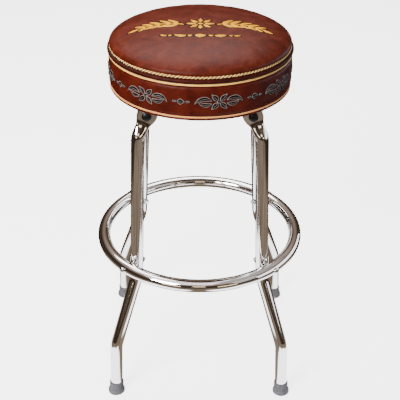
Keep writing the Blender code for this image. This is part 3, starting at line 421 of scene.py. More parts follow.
def metal_finishes():
    """Finishes of the plated, ground, blackened and enamelled pieces."""
    return {
        # Bright chrome over polished tube: mirror-like, with faint polishing haze and a slow ripple
        "chrome": mottled(
            "chrome plated steel", grain(9, 4), gloss=(0.05, 0.09), relief=(grain(38, 1), 0.0003, 0.25),
            Base_Color=rgba("D9D8D6"), Metallic=1.0,
        ),
        # Bright zinc on pressed and turned parts: pale, slightly blue, with a fine cloudy bloom
        "zinc": mottled(
            "zinc plated steel", grain(6, 5), [(0.3, "A9A8A2"), (0.7, "C4C5C6")], (0.24, 0.42),
            (grain(1.2, 2), 0.00005, 0.3), Metallic=1.0,
        ),
        # Ground and hardened balls: dark mirror with a film of grease
        "ball": mottled(
            "hardened ball steel", grain(3), gloss=(0.08, 0.3), Base_Color=rgba("B5B4B4"), Metallic=1.0,
        ),
        # Blackened carriage bolts: near black, oily sheen, a little bare metal on the crown
        "black_bolt": mottled(
            "black oxide steel", grain(2.5, 4), [(0.35, "08080A"), (0.8, "1C1B1C")], (0.3, 0.5),
            Metallic=0.6,
        ),
        # Satin black enamel on the pressed bracket, with a slight orange peel
        "enamel": mottled(
            "black stove enamel", grain(20, 4), [(0.3, "141414"), (0.75, "232221")], (0.34, 0.5),
            (grain(1.6, 2), 0.00008, 0.4),
        ),
    }


def moulded_and_cut_finishes(colours):
    """Finishes of rubber, plywood, foam and acrylic."""
    rubber, sheet = Vector(colours.rubber), Vector(colours.floor)
    plywood_figure = grain(160, 6, 0.62, 0.8)
    foam_cells = grain(1.5, 2)
    return {
        # Moulded grey rubber: dull, dusty in the grooves, scuffed dark in places
        "rubber": mottled(
            "moulded grey rubber", grain(5, 5, 0.65),
            [(0.3, rubber * 0.55), (0.5, rubber), (0.75, rubber * 1.35)],
            (0.62, 0.85), (grain(0.9), 0.00012, 0.5),
        ),
        # Rotary-cut birch face: pale, with long soft figure and darker streaks
        "plywood": mottled(
            "birch plywood", plywood_figure, [(0.3, "9A6C3C"), (0.5, "BE935C"), (0.7, "D3AE78")],
            relief=(plywood_figure, 0.0003, 0.4), stretch=(1.0, 14.0, 1.0), Roughness=0.7,
        ),
        # Cut foam: dull cream with open cells
        "foam": mottled(
            "polyurethane foam", foam_cells, [(0.35, "C9B98A"), (0.65, "E6DBB4")],
            relief=(foam_cells, 0.0004, 0.7), Roughness=0.95,
        ),
        # White acrylic sheet lit from below: nearly white, with only faint shadows round the feet
        "floor": mottled(
            "back-lit white acrylic", grain(400, 2), [(0.3, sheet * 0.985), (0.7, sheet)], Roughness=0.9,
            Specular_IOR_Level=0.1, Emission_Color=rgba(sheet), Emission_Strength=3.8,
        ),
    }


def soft_finishes(colours):
    """Finishes of the vinyl covers, the cords and the threads."""
    crown = [Vector(value) for value in (colours.crown_dark, colours.crown, colours.crown_light)]
    band = [Vector(value) for value in (colours.band_dark, colours.band, colours.band_light)]
    gold, pale = Vector(colours.gold), Vector(colours.pale_gold)
    cord, cord_light, tan = Vector(colours.cord), Vector(colours.cord_light), Vector(colours.tan)
    black, silver, dark = (
        Vector(value) for value in (colours.black_thread, colours.silver_thread, colours.outline)
    )
    # The strip's tones are the band's tones made darker: painted shade in the recess between the cords
    recessed = (band[0] * 0.5, band[0], band[1])
    return {
        "crown": leathercloth("brown vinyl leathercloth", crown, 26, (0.34, 0.5)),
        "band": leathercloth("dark brown vinyl leathercloth", band, 30, (0.36, 0.5)),
        "strip": leathercloth("shade-painted brown vinyl leathercloth", recessed, 18, (0.4, 0.55)),
        "plied_cord": plied_cord(
            "plied gold rayon cord", (band[1], cord, cord_light), "cord_upper",
            bpy.context.scene.stool_seat.upper_cord,
        ),
        "gold_cord": rayon_yarn("gold rayon cord", (cord * 0.7, cord, cord_light), 0.45),
        "tan_cord": rayon_yarn("tan rayon cord", (tan * 0.7, tan, cord), 0.5),
        "gold_thread": satin_stitch("gold embroidery thread", gold * 0.6, gold, pale),
        # Pale gold thread for the painted highlight along the middle of the gold strokes
        "painted_highlight_thread": satin_stitch("painted highlight gold thread", gold, pale, pale * 1.1),
        "outline_thread": satin_stitch("dark brown embroidery thread", dark * 0.6, dark, dark * 1.5),
        "black_thread": satin_stitch("black embroidery thread", black * 0.5, black, black * 3),
        "silver_thread": satin_stitch("silver embroidery thread", silver * 0.6, silver, silver * 1.2),
    }


def finish(name):
    """A finish by its short name, made on first use."""
    if not FINISHES:
        colours = bpy.context.scene.stool_colours
        FINISHES.update({**metal_finishes(), **moulded_and_cut_finishes(colours), **soft_finishes(colours)})
    return FINISHES[name]


FINISHES = {}


# Mesh helpers

def placed(name, bm):
    """Put a bmesh into the scene as an object."""
    mesh = bpy.data.meshes.new(name)
    bm.to_mesh(mesh)
    bm.free()
    piece = bpy.data.objects.new(name, mesh)
    bpy.context.scene.collection.objects.link(piece)
    return piece


def finished(bm, name, material, body, slot, replaced=(), smooth=math.radians(40), recalc=True):
    """Turn a bmesh into a piece at the origin that rides on a body."""
    bmesh.ops.remove_doubles(bm, verts=bm.verts[:], dist=WELD)
    if recalc:
        bmesh.ops.recalc_face_normals(bm, faces=bm.faces[:])
    piece = placed(name, bm)
    piece.data.shade_smooth()
    if smooth:
        piece.data.set_sharp_from_angle(angle=smooth)
    piece.data.materials.append(finish(material))
    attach(piece, body)
    if replaced:
        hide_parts(*replaced)
    return piece


def aim(origin, direction):
    """Matrix that stands a shape made along Z at a place, pointing along a direction."""
    swing = Vector((0, 0, 1)).rotation_difference(Vector(direction))
    return Matrix.Translation(origin) @ swing.to_matrix().to_4x4()


def moved(bm, matrix):
    bmesh.ops.transform(bm, matrix=matrix, verts=bm.verts[:])
    return bm


def everything(bm):
    return bm.verts[:] + bm.edges[:] + bm.faces[:]


def edges_among(verts):
    chosen = set(verts)
    return [edge for edge in {edge for vert in verts for edge in vert.link_edges}
            if edge.verts[0] in chosen and edge.verts[1] in chosen]


def drawn(sections, sides, ring_closed=False):
    """Draw a ring of points through sections, each a function from an angle to a place."""
    bm = bmesh.new()
    layer = bm.verts.layers.int.new("corner")
    ring = bmesh.ops.create_circle(bm, segments=sides, radius=1.0)["verts"]
    for index, vert in enumerate(ring):
        vert[layer] = index
    first = list(ring)
    edges = edges_among(ring)
    for vert in ring:
        vert.co = sections[0](math.tau * vert[layer] / sides)
    for section in sections[1:]:
        grown = bmesh.ops.extrude_edge_only(bm, edges=edges)["geom"]
        ring = [item for item in grown if isinstance(item, bmesh.types.BMVert)]
        edges = [item for item in grown if isinstance(item, bmesh.types.BMEdge)]
        for vert in ring:
            vert.co = section(math.tau * vert[layer] / sides)
    if ring_closed:
        bmesh.ops.bridge_loops(bm, edges=edges + edges_among(first))
    else:
        bm.faces.new(sorted(ring, key=lambda vert: vert[layer]))
        bm.faces.new(sorted(first, key=lambda vert: -vert[layer]))
    return bm


def swept(bm, geom, steps, angle=math.tau, **how):
    """Sweep or copy geometry round the Z axis."""
    bmesh.ops.spin(bm, geom=geom, cent=(0, 0, 0), axis=(0, 0, 1), angle=angle, steps=steps, **how)


def spun(profile, steps, closed=False):
    """Turn a profile of (radius, height) points round the Z axis."""
    bm = bmesh.new()
    verts = [bm.verts.new((radius, 0, height)) for radius, height in profile]
    edges = [bm.edges.new(pair) for pair in zip(verts, verts[1:])]
    if closed:
        edges.append(bm.edges.new((verts[-1], verts[0])))
    swept(bm, verts + edges, steps, use_merge=True)
    bmesh.ops.remove_doubles(bm, verts=bm.verts[:], dist=WELD)
    bmesh.ops.recalc_face_normals(bm, faces=bm.faces[:])
    return bm


def arc(centre, radius, start, end, steps):
    """Points of a round corner in a profile, between two angles given in quarter turns."""
    out, up = centre
    angles = [math.pi / 2 * (start + (end - start) * step / steps) for step in range(steps + 1)]
    return [(out + radius * math.cos(angle), up + radius * math.sin(angle)) for angle in angles]


def face_profile(low, high, reach):
    """Points up the outer face of a cushion, as far out as reach() says at each share of its height."""
    shares = [step / PROFILE_STEPS for step in range(PROFILE_STEPS + 1)]
    return [(reach(share), low + (high - low) * share) for share in shares]


def hoop(radius, tube, height, steps, sides):
    """A round ring of round section about the Z axis."""
    bm = bmesh.new()
    section = bmesh.ops.create_circle(bm, segments=sides, radius=tube)["verts"]
    bmesh.ops.rotate(bm, verts=section, cent=(0, 0, 0), matrix=Matrix.Rotation(math.pi / 2, 3, "X"))
    bmesh.ops.translate(bm, verts=section, vec=(radius, 0, height))
    swept(bm, section + edges_among(section), steps, use_merge=True)
    bmesh.ops.remove_doubles(bm, verts=bm.verts[:], dist=WELD)
    return bm


def level_ring(radius, height):
    """A level round section along Z for drawn()."""
    return lambda angle: Vector((radius * math.cos(angle), radius * math.sin(angle), height))


def level_hexagon(across, height):
    """A level hexagonal section along Z for drawn()."""
    def place(angle):
        off_flat = (angle + math.pi / 6) % (math.pi / 3) - math.pi / 6
        reach = across / 2 / math.cos(off_flat)
        return Vector((reach * math.cos(angle), reach * math.sin(angle), height))
    return place


# Legs

def on_bearing(radius, bearing, side_x, side_y, height):
    return Vector((side_x * radius * math.sin(bearing), side_y * radius * math.cos(bearing), height))


def leg_corners(place):
    """The leg's centre line as corner points, foot first."""
    legs = bpy.context.scene.stool_legs
    fittings = bpy.context.scene.stool_fittings
    side_x, side_y = SIDES[place]
    bearing = legs.front_bearing if side_y < 0 else legs.rear_bearing
    ankle = on_bearing(legs.ankle_circle, bearing, side_x, side_y, legs.ankle_height)
    floor = on_bearing(legs.foot_circle, bearing, side_x, side_y, 0)
    foot = floor + (ankle - floor) * ((fittings.cap_sole + fittings.gap) / legs.ankle_height)
    knee = on_bearing(legs.knee_circle, bearing, side_x, side_y, legs.knee_height)
    shoulder_height = legs.bolt_height - legs.shoulder_below
    shoulder = Vector((side_x * legs.shoulder_x, side_y * legs.shoulder_y, shoulder_height))
    rise = legs.tip_above + legs.shoulder_below
    tip = shoulder + Vector((-side_x * rise * math.tan(legs.top_lean), 0, rise))
    return [foot, ankle, knee, shoulder, tip]


def rounded_route(corners, radii, steps):
    """Points of straight runs joined by round bends."""
    points = [corners[0]]
    for before, corner, after, radius in zip(corners, corners[1:], corners[2:], radii):
        into = (corner - before).normalized()
        away = (after - corner).normalized()
        swing = into.angle(away)
        start = corner - into * (radius * math.tan(swing / 2))
        centre = corner + (away - into).normalized() * (radius / math.cos(swing / 2))
        axis = into.cross(away).normalized()
        for step in range(steps + 1):
            points.append(centre + Matrix.Rotation(swing * step / steps, 3, axis) @ (start - centre))
    points.append(corners[-1])
    return points


def eased(distance, start, run):
    share = min(max((distance - start) / run, 0), 1)
    return share * share * (3 - 2 * share)


def leg_section(centre, direction, distance):
    """One cross-section of a leg: round, or drawn out flat with pillowed faces near the tip."""
    legs = bpy.context.scene.stool_legs
    radius, wall = legs.tube_radius, legs.tube_wall
    roundness = eased(distance, legs.flat_length, legs.crush_length)
    half_thickness = wall + (radius - wall) * roundness
    flat_half = math.pi * radius / 2 - (math.pi / 2 - 1) * wall
    narrowing = eased(distance, legs.full_width_length, legs.widening_length)
    half_width = flat_half + (radius - flat_half) * narrowing
    if distance < legs.tip_corner:
        inset = legs.tip_corner - distance
        half_width -= legs.tip_corner - math.sqrt(legs.tip_corner ** 2 - inset ** 2)
    thin = (Vector((0, 1, 0)) - direction * direction.y).normalized()
    wide = direction.cross(thin)
    straight = max(half_width - half_thickness, 0)
    end = math.pi * half_thickness / 2
    quarter = straight + end
    pillow = 0.2 + 2.6 * roundness * (1 - roundness)

    def place(angle):
        turns, along = divmod(4 * quarter * (angle / math.tau % 1), quarter)
        if turns in (1, 3):
            along = quarter - along
        swing = max(along - straight, 0) / half_thickness
        share = along / quarter * math.pi / 2
        across = min(along, straight) + half_thickness * math.sin(swing)
        through = half_thickness * math.cos(swing)
        across += (half_width * math.sin(share) - across) * pillow
        through += (half_thickness * math.cos(share) - through) * pillow
        across = across if turns in (0, 1) else -across
        through = through if turns in (0, 3) else -through
        return centre + wide * across + thin * through
    return place


def leg_sections(corners):
    legs = bpy.context.scene.stool_legs
    route = rounded_route(corners, (legs.ankle_bend, legs.knee_bend, legs.shoulder_bend), BEND_STEPS)
    tip = route.pop()
    run = tip - route[-1]
    crushed = legs.flat_length + legs.crush_length
    marks = [crushed * share / 32 for share in range(32, 4, -1)]
    marks += [legs.tip_corner * (1 - math.sin(math.pi / 2 * step / 8)) for step in range(1, 9)]
    marks = sorted({mark for mark in marks if mark < run.length}, reverse=True)
    route += [tip - run.normalized() * mark for mark in marks]
    ways = [(after - before).normalized() for before, after in zip(route, route[1:])]
    directions = [ways[0]] + [(a + b).normalized() for a, b in zip(ways, ways[1:])] + [ways[-1]]
    left = [0.0]
    for before, after in zip(reversed(route[:-1]), reversed(route[1:])):
        left.append(left[-1] + (after - before).length)
    return [leg_section(*station) for station in zip(route, directions, reversed(left))]


def ring_crossing(place):
    """Where the leg's centre line passes the height of the foot ring."""
    _, _, knee, shoulder, _ = leg_corners(place)
    height = bpy.context.scene.stool_fittings.ring_height
    return knee.lerp(shoulder, (height - knee.z) / (shoulder.z - knee.z))


def leg_lean(place):
    """How far the upright run of a leg moves inward for each unit that it rises."""
    _, _, knee, shoulder, _ = leg_corners(place)
    run = shoulder - knee
    return math.hypot(run.x, run.y) / run.z


class STOOL_OT_legs(bpy.types.Operator):
    """Bend four tubes with crushed tops and plate them"""

    bl_idname = "stool.legs"
    bl_label = "Legs"

    def execute(self, context):
        for place in SIDES:
            bm = drawn(leg_sections(leg_corners(place)), LEG_SIDES)
            node = "leg_" + place
            finished(bm, node + "_tube", "chrome", "base", "chrome", (node,))
        return {"FINISHED"}


class STOOL_OT_foot_caps(bpy.types.Operator):
    """Mould a grooved rubber cap on each foot"""

    bl_idname = "stool.foot_caps"
    bl_label = "Foot caps"

    def profile(self, context):
        legs, fittings = context.scene.stool_legs, context.scene.stool_fittings
        bore = legs.tube_radius + fittings.gap
        outer = bore + fittings.cap_wall
        flare, rise = fittings.cap_flare, fittings.cap_flare_height
        over = fittings.cap_sole
        points = [(0, -over), (outer + flare, -over)]
        for step in range(9):
            angle = math.pi / 2 * step / 8
            points.append((outer + flare * (1 - math.sin(angle) ** 3), rise * (0.3 + 0.7 * math.sin(angle))))
        top = fittings.cap_height
        count = 4
        pitch = (top - rise) / (count + 0.6)
        for groove in range(count):
            middle = rise + pitch * (groove + 0.75)
            for offset, depth in ((-0.28, 0), (-0.14, 0.8), (0.0, 1), (0.14, 0.8), (0.28, 0)):
                points.append((outer - fittings.cap_groove * depth, middle + pitch * offset))
        rim = fittings.cap_wall / 2
        return points + arc((outer - rim, top - rim), rim, 0, 2, 4) + [(bore, over), (0, over)]

    def execute(self, context):
        for place in SIDES:
            foot, ankle = leg_corners(place)[:2]
            direction = (ankle - foot).normalized()
            floor = foot - direction * (foot.z / direction.z)
            bm = moved(spun(self.profile(context), CAP_STEPS), aim(floor, direction))
            cut = bmesh.ops.bisect_plane(
                bm, geom=everything(bm), plane_co=(0, 0, 0), plane_no=(0, 0, -1), clear_outer=True,
            )["geom_cut"]
            rim = [item for item in cut if isinstance(item, bmesh.types.BMEdge)]
            bmesh.ops.holes_fill(bm, edges=rim)
            node = "foot_cap_" + place
            finished(bm, node + "_rubber", "rubber", "base", "cap_rubber", (node,))
        return {"FINISHED"}


# Foot ring and fasteners

def ring_radius():
    return RING_BOX[1].x - bpy.context.scene.stool_fittings.ring_tube


class STOOL_OT_foot_ring(bpy.types.Operator):
    """Roll the chromed foot ring"""

    bl_idname = "stool.foot_ring"
    bl_label = "Foot ring"

    def execute(self, context):
        fittings = context.scene.stool_fittings
        bm = hoop(ring_radius(), fittings.ring_tube, fittings.ring_height, RING_STEPS, RING_SIDES)
        finished(bm, "foot_ring_tube", "chrome", "base", "chrome", ("foot_ring",))
        return {"FINISHED"}


def domed_head(radius, height, steps=7):
    """Sections of a domed head that stands on nought."""
    edge = height * 0.22
    sections = [level_ring(radius * 0.985, 0), level_ring(radius, edge * 0.4), level_ring(radius, edge)]
    for step in range(1, steps):
        angle = math.pi / 2 * step / steps
        sections.append(level_ring(radius * math.cos(angle), edge + (height - edge) * math.sin(angle)))
    return sections


def domed_bolt(radius, shank, head_radius, head_height, socket):
    """A domed bolt along Z with its shank below nought, and a hexagon socket if it has one."""
    sections = [level_ring(radius * 0.86, -shank), level_ring(radius, -shank + radius * 0.2)]
    sections += [level_ring(radius, -0.0001)] + domed_head(head_radius, head_height)
    if socket:
        mouth = [s for s in sections if s(0).z <= 0 or s(0).x > socket * 0.75]
        level = mouth[-1](0).z + (head_height - mouth[-1](0).z) * 0.45
        sections = mouth + [level_hexagon(socket * 1.06, level), level_hexagon(socket, level - 0.0002)]
        sections += [level_hexagon(socket, level - head_height * 0.6)]
    else:
        sections.append(level_ring(head_radius * 0.05, head_height))
    return drawn(sections, BOLT_SIDES)


def flange_nut(across, bore, height, flange, flange_thickness):
    """A hexagon nut along Z with a round flange at nought and chamfered corners."""
    inner = across / 2 * 0.99
    sections = [
        level_ring(bore, 0), level_ring(flange * 0.97, 0), level_ring(flange, flange_thickness * 0.3),
        level_ring(flange, flange_thickness * 0.6), level_ring(across * 0.62, flange_thickness),
        level_hexagon(across, flange_thickness * 1.1), level_hexagon(across, height - 0.0009),
        level_ring(inner, height - 0.0001), level_ring(inner * 0.94, height),
        level_ring(bore * 1.1, height), level_ring(bore, height - bore * 0.12),
    ]
    return drawn(sections, BOLT_SIDES, ring_closed=True)


def fasten(kind, place, base, outward, seats, shape, socket, material, slot):
    """Put a domed bolt through a leg from outside, and a flange nut on it from inside."""
    fittings = bpy.context.scene.stool_fittings
    sizes = ("bolt_radius", "head_radius", "head_height", "nut_across", "nut_height", "nut_flange")
    radius, head_radius, head_height, across, height, flange = (
        getattr(fittings, "%s_%s" % (kind, size)) for size in sizes
    )
    head_seat, nut_seat = seats
    shank = head_seat - nut_seat + height + fittings.bolt_end
    bolt = domed_bolt(radius, shank, head_radius, head_height, socket)
    nut = flange_nut(across, radius + fittings.gap, height, flange, fittings.nut_flange_thickness)
    moved(bolt, aim(base + outward * head_seat, outward))
    moved(nut, aim(base + outward * nut_seat, -outward))
    bolt_node, nut_node = "%s_bolt_%s" % (kind, place), "%s_nut_%s" % (kind, place)
    finished(bolt, bolt_node + shape, material, "base", slot, (bolt_node,))
    finished(nut, nut_node + "_hexagon", "zinc", "base", "zinc", (nut_node,))


class STOOL_OT_ring_bolts(bpy.types.Operator):
    """Fit the socket-headed bolts and flange nuts of the foot ring"""

    bl_idname = "stool.ring_bolts"
    bl_label = "Ring bolts and nuts"

    socket = 0.005

    def execute(self, context):
        legs, fittings = context.scene.stool_legs, context.scene.stool_fittings
        base = Vector((0, 0, fittings.ring_height))
        for place in SIDES:
            crossing = ring_crossing(place)
            outward = Vector((crossing.x, crossing.y, 0)).normalized()
            head_seat = ring_radius() + fittings.ring_tube + fittings.gap
            slant = fittings.ring_nut_flange * leg_lean(place)
            nut_seat = crossing.to_2d().length - legs.tube_radius - slant - fittings.gap
            seats = (head_seat, nut_seat)
            fasten("ring", place, base, outward, seats, "_screw", self.socket, "chrome", "bolt_chrome")
        return {"FINISHED"}


class STOOL_OT_leg_bolts(bpy.types.Operator):
    """Fit the black domed bolts and flange nuts of the crushed leg tops"""

    bl_idname = "stool.leg_bolts"
    bl_label = "Leg bolts and nuts"

    def execute(self, context):
        legs, fittings = context.scene.stool_legs, context.scene.stool_fittings
        across = legs.shoulder_x - legs.shoulder_below * math.tan(legs.top_lean)
        head_seat = legs.shoulder_y + legs.tube_wall + fittings.gap
        nut_seat = legs.shoulder_y - legs.tube_wall - 2 * fittings.gap - fittings.lug_thickness
        seats = (head_seat, nut_seat)
        for place, (side_x, side_y) in SIDES.items():
            base = Vector((side_x * across, 0, legs.bolt_height))
            outward = Vector((0, side_y, 0))
            fasten("leg", place, base, outward, seats, "_dome", 0, "black_bolt", "black_steel")
        return {"FINISHED"}


# Padded seat

def evaluated_copy(piece):
    """The mesh that an object's modifiers make."""
    return bpy.data.meshes.new_from_object(piece.evaluated_get(bpy.context.evaluated_depsgraph_get()))


def inflated(bm, name, is_pinned, cap):
    """Blow a closed form up as cloth, with some points pinned and no point moved past the cap."""
    piece = placed(name, bm)
    remesh = piece.modifiers.new("voxel", "REMESH")
    remesh.mode = "VOXEL"
    remesh.voxel_size = bpy.context.scene.stool_seat.voxel
    piece.data = evaluated_copy(piece)
    piece.modifiers.clear()
    start = [vert.co.copy() for vert in piece.data.vertices]
    group = piece.vertex_groups.new(name="pinned")
    group.add([index for index, place in enumerate(start) if is_pinned(place)], 1.0, "REPLACE")
    cloth = piece.modifiers.new("cloth", "CLOTH")
    for key, value in CLOTH.items():
        setattr(cloth.settings, key, value)
    cloth.settings.effector_weights.gravity = 0
    for step in range(1, CLOTH_FRAMES + 1):
        bpy.context.scene.frame_set(step)
    swollen = evaluated_copy(piece)
    piece.modifiers.clear()
    for vert, before, after in zip(piece.data.vertices, start, swollen.vertices):
        move = after.co - before
        if move.length > cap:
            move *= cap / move.length
        vert.co = before + move
    bpy.context.scene.frame_set(1)
    result = bmesh.new()
    result.from_mesh(piece.data)
    bpy.data.objects.remove(piece, do_unlink=True)
    for _ in range(2):
        bmesh.ops.smooth_vert(
            result, verts=result.verts[:], factor=0.5, use_axis_x=True, use_axis_y=True, use_axis_z=True,
        )
    return result


def softened(piece):
    """Round a padded piece with one level of subdivision."""
    subdivision = piece.modifiers.new("subdivision", "SUBSURF")
    subdivision.levels = 1
    subdivision.render_levels = 1
    return piece


class STOOL_OT_top_cover(bpy.types.Operator):
    """Stretch the crowned cover over the foam"""

    bl_idname = "stool.top_cover"
    bl_label = "Top cover"

    swell = 0.0022
    hem = 0.0015
    overhang = 0.0004
    kept_wrinkles = 0.4
    fullness = 1.006

    def execute(self, context):
        seat = context.scene.stool_seat
        low = seat.crown_low
        rise = seat.crown_top - low - self.swell - self.hem
        edge = seat.crown_radius - self.swell
        profile = [(0, low + rise)]
        for step in range(PROFILE_STEPS):
            angle = math.pi / 2 * (1 - (step + 1) / (PROFILE_STEPS + 1))
            profile.append((edge * math.cos(angle), low + self.hem + rise * math.sin(angle)))
        profile += [(edge - 0.0008, low), (0, low)]
        seam = low + 0.003
        bm = inflated(spun(profile, COVER_STEPS), "top_cover_form", lambda place: place.z < seam, self.swell)
        self.tuck(bm, seat)
        piece = finished(
            bm, "top_cover_skin", "crown", "seat", "vinyl_brown", ("top_cover", "seat_foam"), smooth=0,
        )
        softened(piece)
        return {"FINISHED"}

    def tuck(self, bm, seat):
        """Roll the edge of the cover full against the cord under it."""
        reach = 0.014
        for vert in bm.verts:
            off_axis = math.hypot(vert.co.x, vert.co.y)
            above = vert.co.z - seat.crown_low
            if above < reach and off_axis > seat.crown_radius - reach:
                share = max(above - self.hem, 0) / (seat.crown_top - seat.crown_low - self.hem)
                full = seat.crown_radius * math.sqrt(1 - share * share) + self.overhang
                blend = 1 - above / reach
                wanted = off_axis + max(full - off_axis, 0) * (1 - (1 - blend) ** 3)
                vert.co.x *= wanted / off_axis
                vert.co.y *= wanted / off_axis
        self.settle(bm, seat)

    def settle(self, bm, seat):
        """Bring the cover's mean shape back to the crown, and keep some of its wrinkles."""
        base = seat.crown_low + self.hem
        rise = seat.crown_top - base
        bins = 30
        skin = []
        for vert in bm.verts:
            out, up = math.hypot(vert.co.x, vert.co.y) / seat.crown_radius, (vert.co.z - base) / rise
            if up > 0.03 and math.hypot(out, up) > 0.8:
                skin.append((vert, math.hypot(out, up), math.atan2(up, out) / (math.pi / 2) * bins))
        mean = []
        for index in range(bins + 1):
            near = [reach for _, reach, place in skin if abs(place - index) < 1]
            mean.append(sum(near) / len(near) if near else 1.0)
        for vert, reach, place in skin:
            index = min(int(place), bins - 1)
            usual = mean[index] + (mean[index + 1] - mean[index]) * (place - index)
            scale = self.fullness * (1 + self.kept_wrinkles * (reach / usual - 1)) / reach
            vert.co.x *= scale
            vert.co.y *= scale
            vert.co.z = base + (vert.co.z - base) * scale


BAND_SHAPE = (
    (0.0, 0.0), (0.04, 0.63), (0.12, 0.97), (0.26, 1.0), (0.5, 0.87), (0.76, 0.8), (0.93, 0.67), (1.0, 0.23),
)
STRIP_SHAPE = ((0.0, 0.0), (0.14, 0.62), (0.4, 0.95), (0.66, 1.0), (0.88, 0.66), (1.0, 0.0))


def rounded_share(shape, share):
    """Value at a share of the way along a shape of (way, value) points, without corners."""
    total, weights = 0.0, 0.0
    for offset in range(-4, 5):
        place = min(max(share + offset * 0.012, 0), 1)
        for (start, low), (end, high) in zip(shape, shape[1:]):
            if start <= place <= end:
                value = low + (high - low) * (place - start) / (end - start)
        weight = 5 - abs(offset)
        total += value * weight
        weights += weight
    return total / weights


def band_radius(share, sizes):
    """Outer radius of the side band, share running from the lower cord to the middle one."""
    return sizes.band_radius + sizes.band_bulge * rounded_share(BAND_SHAPE, share)


def band_low():
    """Height where the side band starts to swell, over the lower cord."""
    low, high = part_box("cord_lower")
    return (low.z + high.z) / 2 + bpy.context.scene.stool_seat.lower_cord


class STOOL_OT_side_band(bpy.types.Operator):
    """Wrap the padded band round the side and turn its edge under the board"""

    bl_idname = "stool.side_band"
    bl_label = "Side band"

    swell = 0.0016
    depth = 0.012
    clear = 0.0004
    tucked = 0.004
    recess = 0.0018
    cord_gap = 0.0003
    pleat_depth = 0.0008

    def execute(self, context):
        seat = context.scene.stool_seat
        low, high = band_low(), seat.band_top
        inner = seat.band_radius - self.depth

        def reach(share):
            return band_radius(share, seat) - self.swell * math.sin(math.pi * share) ** 0.5 - 0.0002

        def is_pinned(place):
            off_axis = math.hypot(place.x, place.y)
            return off_axis < seat.band_radius - 0.004 or not low + 0.002 < place.z < high - 0.002
        profile = [(inner, low - 0.001), *face_profile(low, high, reach), (inner, high)]
        bm = inflated(spun(profile, BAND_STEPS, closed=True), "side_band_form", is_pinned, self.swell)
        piece = finished(bm, "side_band_skin", "band", "seat", "vinyl_dark", ("side_band",), smooth=0)
        softened(piece)
        self.turned_edge(context, low)
        return {"FINISHED"}

    def turned_edge(self, context, low):
        """The part of the band that passes behind the lower cord and folds under the board, in pleats."""
        seat = context.scene.stool_seat
        bottom = BAND_BOX[0].z
        wall = BOARD_BOX[1].x
        outer = seat.roll_radius
        corner = 0.0022
        lip = 0.001
        groove = wall + self.recess
        under_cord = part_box("cord_lower")[0].z - self.cord_gap
        top = low + self.tucked
        profile = [(wall + self.clear, top), (groove, top), (groove, under_cord)]
        profile += arc((outer - lip, under_cord - lip), lip, 1, 0, 4)
        profile += arc((outer - corner, bottom + corner), corner, 0, -1, 5)
        runs = 7
        for step in range(1, runs + 1):
            profile.append((outer - corner - (outer - corner - seat.lip_inner) * step / runs, bottom))
        profile += [(seat.lip_inner, bottom + seat.vinyl), (wall - lip, bottom + seat.vinyl)]
        bm = spun(profile, TURNED_EDGE_STEPS, closed=True)
        pleats = [random.Random(7).uniform(0.6, 1.4) for _ in range(41)]
        for vert in bm.verts:
            off_axis = math.hypot(vert.co.x, vert.co.y)
            share = (wall - off_axis) / (wall - seat.lip_inner)
            if share > 0 and vert.co.z < bottom + seat.vinyl / 2:
                around = (math.atan2(vert.co.y, vert.co.x) / math.tau + 0.5) * len(pleats)
                index = int(around) % len(pleats)
                fold = math.sin(math.pi * (around - int(around))) ** 2
                vert.co.z += self.pleat_depth * share * fold * pleats[index]
        finished(bm, "side_band_turned_edge", "band", "seat", "vinyl_dark")


class STOOL_OT_upper_strip(bpy.types.Operator):
    """Set the narrow recessed strip and its welt between the gold cords"""

    bl_idname = "stool.upper_strip"
    bl_label = "Upper strip"

    depth = 0.0023

    def execute(self, context):
        seat = context.scene.stool_seat
        low, high = STRIP_BOX[0].z, STRIP_BOX[1].z
        back = seat.strip_radius - self.depth

        def reach(share):
            return seat.strip_radius + seat.welt * rounded_share(STRIP_SHAPE, share)
        profile = [(back, low), *face_profile(low, high, reach), (back, high)]
        finished(
            spun(profile, STRIP_STEPS, closed=True), "upper_strip_welt", "strip", "seat", "vinyl_dark",
            ("upper_strip",), smooth=math.radians(60),
        )
        return {"FINISHED"}


# Radius of a strand, and of the plied cord, as shares of the radius given
STRAND_SHARE = 0.56
PLIED_SHARE = 1.12


def twisted_hoop(circle, radius, height, lay):
    """Two strands twisted round each other along a circle."""
    strand = radius * STRAND_SHARE
    count = round(math.tau * circle / lay)
    sector = math.tau / count
    steps = 7
    bm = bmesh.new()
    for start in (0, math.pi):
        def section(step, start=start):
            along = sector * step / steps
            phase = start + math.pi * step / steps

            def place(angle):
                out = (radius - strand) * math.cos(phase) + strand * math.cos(angle)
                up = (radius - strand) * math.sin(phase) + strand * math.sin(angle)
                return Vector((
                    (circle + out) * math.cos(along), (circle + out) * math.sin(along), height + up,
                ))
            return place
        part = drawn([section(step) for step in range(steps + 1)], STRAND_SIDES)
        ends = [face for face in part.faces if len(face.verts) == STRAND_SIDES]
        bmesh.ops.delete(part, geom=ends, context="FACES_ONLY")
        mesh = bpy.data.meshes.new("strand")
        part.to_mesh(mesh)
        part.free()
        bm.from_mesh(mesh)
        bpy.data.meshes.remove(mesh)
    swept(bm, everything(bm), count - 1, math.tau - sector, use_duplicate=True)
    return bm


class STOOL_OT_trim_cords(bpy.types.Operator):
    """Lay the twisted gold cord, the smooth gold cord and the tan cord"""

    bl_idname = "stool.trim_cords"
    bl_label = "Trim cords"

    def execute(self, context):
        seat = context.scene.stool_seat
        for node, radius, material, slot, twisted in (
            ("cord_upper", seat.upper_cord, "plied_cord", "cord_gold", True),
            ("cord_middle", seat.middle_cord, "gold_cord", "cord_gold", False),
            ("cord_lower", seat.lower_cord, "tan_cord", "cord_tan", False),
        ):
            low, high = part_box(node)
            circle = high.x - radius
            height = (low.z + high.z) / 2
            if twisted:
                bm = twisted_hoop(circle, radius * PLIED_SHARE, height, seat.cord_lay)
            else:
                bm = hoop(circle, radius, height, CORD_STEPS, CORD_SIDES)
            finished(bm, node + "_yarn", material, "seat", slot, (node,), smooth=0)
        return {"FINISHED"}


# Embroidery

